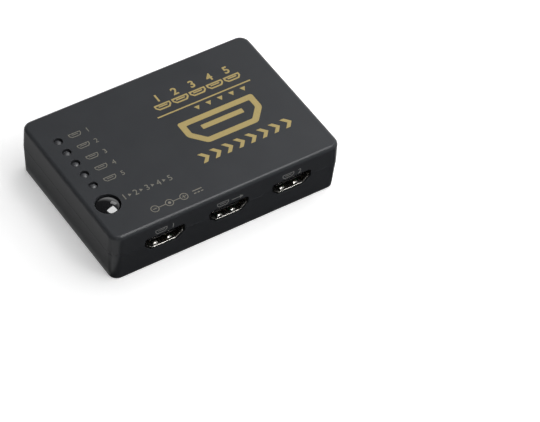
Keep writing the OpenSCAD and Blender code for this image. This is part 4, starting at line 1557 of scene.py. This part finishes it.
@dataclass
class Studio:
    """White sweep, soft lights and the camera at the photograph's angle."""

    aim: Colour = (12.48 * MM, -37.06 * MM, 10.25 * MM)
    distance: float = 993.87 * MM
    azimuth: float = -36.661
    elevation: float = 47.148
    roll: float = 5.04
    lens: float = 198.06
    sensor: float = 36.0
    clip: Point = (0.01, 20.0)
    floor_size: float = 6.0
    floor_drop: float = 0.02 * MM
    floor_colour: float = 0.9
    floor_glow: float = 0.4
    floor_bounce: float = 0.35
    floor_fade: Ramp = (0.14, 0.32, 0.0, 1.0)
    ambient: float = 0.14
    backdrop: Ramp = (-0.05, 0.36, 1.0, 0.06)
    backdrop_lean: Colour = (-0.6, 0.0, 1.0)
    backdrop_front: Ramp = (0.3, 0.75, 1.0, 0.06)
    # Painted dark reflection: a black card in front that only the box's polish sees, so the front
    # face reflects black over the white floor.
    front_card: tuple[Point, Point] = ((-46 * MM, -1200 * MM), (700 * MM, -28 * MM))
    # Painted shade in reflection: a card on the left that only the box's polish sees.
    side_card: tuple[Point, Point] = ((-100 * MM, -28 * MM), (-45 * MM, 47 * MM))
    front_glow: Ramp = (0.0, 1.0, 0.0, 0.0)
    # Glow of the left card: dim at the box and bright further out, a painted shadow that makes the
    # left face darker towards its bottom.
    side_glow: Ramp = (-44 * MM, -58 * MM, 0.08, 0.6)
    card_lift: float = 0.2 * MM

    def camera(self) -> None:
        """Sets the camera that took the photograph."""
        data = bpy.data.cameras.new("camera")
        data.lens = self.lens
        data.sensor_width = self.sensor
        data.clip_start, data.clip_end = self.clip
        made = bpy.data.objects.new("camera", data)
        turn, lift = math.radians(self.azimuth), math.radians(self.elevation)
        back = Vector(
            (math.sin(turn) * math.cos(lift), -math.cos(turn) * math.cos(lift), math.sin(lift))
        )
        made.rotation_mode = "QUATERNION"
        made.rotation_quaternion = facing(back, self.roll).to_quaternion()
        made.location = Vector(self.aim) + back * self.distance
        bpy.context.scene.collection.objects.link(made)
        bpy.context.scene.camera = made

    def world(self) -> None:
        """Makes the surroundings white to the camera, and a low white sweep to a polished face."""
        world = bpy.data.worlds.new("studio")
        world.use_nodes = True
        nodes = Nodes(world.node_tree)
        way = nodes.add("ShaderNodeTexCoord").outputs["Generated"]
        level = nodes.combine(
            "MINIMUM",
            nodes.ramp(nodes.along(way, self.backdrop_lean), self.backdrop),
            nodes.ramp(nodes.along(way, AHEAD), self.backdrop_front),
        )
        soft, sweep, white = (
            nodes.add("ShaderNodeBackground", {"Color": WHITE, "Strength": strength}).outputs[0]
            for strength in (self.ambient, level, 1.0)
        )
        camera_ray = nodes.add("ShaderNodeLightPath").outputs["Is Camera Ray"]
        clear = nodes.blend(camera_ray, sweep, white)
        nodes.add("ShaderNodeOutputWorld", {"Surface": nodes.blend(nodes.seen(), soft, clear)})
        bpy.context.scene.world = world

    def card(self, name: str, corners: tuple[Point, Point], glow: Ramp) -> None:
        """Lays a card on the floor that only the box's polish sees, whose brightness is a painted
        reflection: where it is dark, a face reflects painted shade.

        Args:
            name: Name of the card.
            corners: Its lowest and highest corner.
            glow: Two places along x, and the card's brightness at each; this brightness is the
                painted reflection.
        """
        form = bmesh.new()
        near, far = (Vector((*corner, self.card_lift)) for corner in corners)
        size = Matrix.Diagonal((*(far - near).xy / 2, 1.0, 1.0))
        place = Matrix.Translation((near + far) / 2) @ size
        bmesh.ops.create_grid(form, x_segments=1, y_segments=1, size=1.0, matrix=place)
        made = shown(name, form)
        sheet = NodeSheet(name)
        split = sheet.add("ShaderNodeSeparateXYZ", {"Vector": sheet.place})
        # The card's emission is painted reflection: its ramp along x paints shade into what the
        # box's faces reflect.
        sheet.set(
            Base_Color=(0.0, 0.0, 0.0),
            Emission_Color=(1.0, 1.0, 1.0),
            Emission_Strength=sheet.ramp(split.outputs["X"], glow),
            Roughness=1.0,
            Specular_IOR_Level=0.0,
        )
        made.data.materials.append(sheet.material)
        made.visible_camera = False
        made.visible_diffuse = False
        made.visible_transmission = False
        made.visible_shadow = False

    def floor(self) -> None:
        """Lays a white floor that keeps the shadow and fades into the white surroundings."""
        form = bmesh.new()
        below = Matrix.Translation((0.0, 0.0, -self.floor_drop))
        bmesh.ops.create_grid(
            form, x_segments=1, y_segments=1, size=self.floor_size / 2, matrix=below
        )
        made = shown("floor", form)
        material = bpy.data.materials.new("floor")
        material.use_nodes = True
        nodes = Nodes(material.node_tree)
        matte, dim = (
            nodes.add("ShaderNodeBsdfDiffuse", {"Color": (level, level, level, 1.0)}).outputs[0]
            for level in (self.floor_colour, self.floor_bounce)
        )
        glow, white = (
            nodes.add("ShaderNodeEmission", {"Strength": strength}).outputs[0]
            for strength in (self.floor_glow, 1.0)
        )
        lit = nodes.add("ShaderNodeAddShader", {0: matte, 1: glow}).outputs["Shader"]
        place = nodes.add("ShaderNodeTexCoord").outputs["Object"]
        reach = nodes.add("ShaderNodeVectorMath", {0: place}, operation="LENGTH").outputs["Value"]
        far = nodes.blend(nodes.ramp(reach, self.floor_fade, "SMOOTHSTEP"), lit, white)
        nodes.add("ShaderNodeOutputMaterial", {"Surface": nodes.blend(nodes.seen(), dim, far)})
        made.data.materials.append(material)

    def build(self) -> None:
        """Sets up the floor, the cards of painted reflection, the surroundings, the lamps and the
        camera.
        """
        bpy.context.scene.view_settings.view_transform = "Standard"
        self.floor()
        # These cards paint a dark reflection into the front face and painted shade into the left
        # face.
        self.card("front_card", self.front_card, self.front_glow)
        self.card("side_card", self.side_card, self.side_glow)
        self.world()
        for lamp in LAMPS:
            lamp.build()
        self.camera()


def clear_scene() -> None:
    """Removes whatever the start-up file holds."""
    for left_over in list(bpy.data.objects):
        bpy.data.objects.remove(left_over)


def main() -> None:
    """Builds the studio and every piece."""
    logging.basicConfig(level=logging.INFO, format="%(name)s: %(message)s")
    clear_scene()
    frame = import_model()
    Studio().build()
    bench = Bench(frame)
    sockets = [VideoSocket(bench, name) for name in SOCKET_NAMES]
    fittings = (SelectButton, SnapDome, LampRow, Jacks, Screws, TopPrint, FrontPrint)
    for assembly in [Covers(bench), *sockets, *(kind(bench) for kind in fittings)]:
        assembly.build()
    for node, slot in INNER_PARTS.items():
        bench.dress(node, slot)


if __name__ == "__main__":
    main()
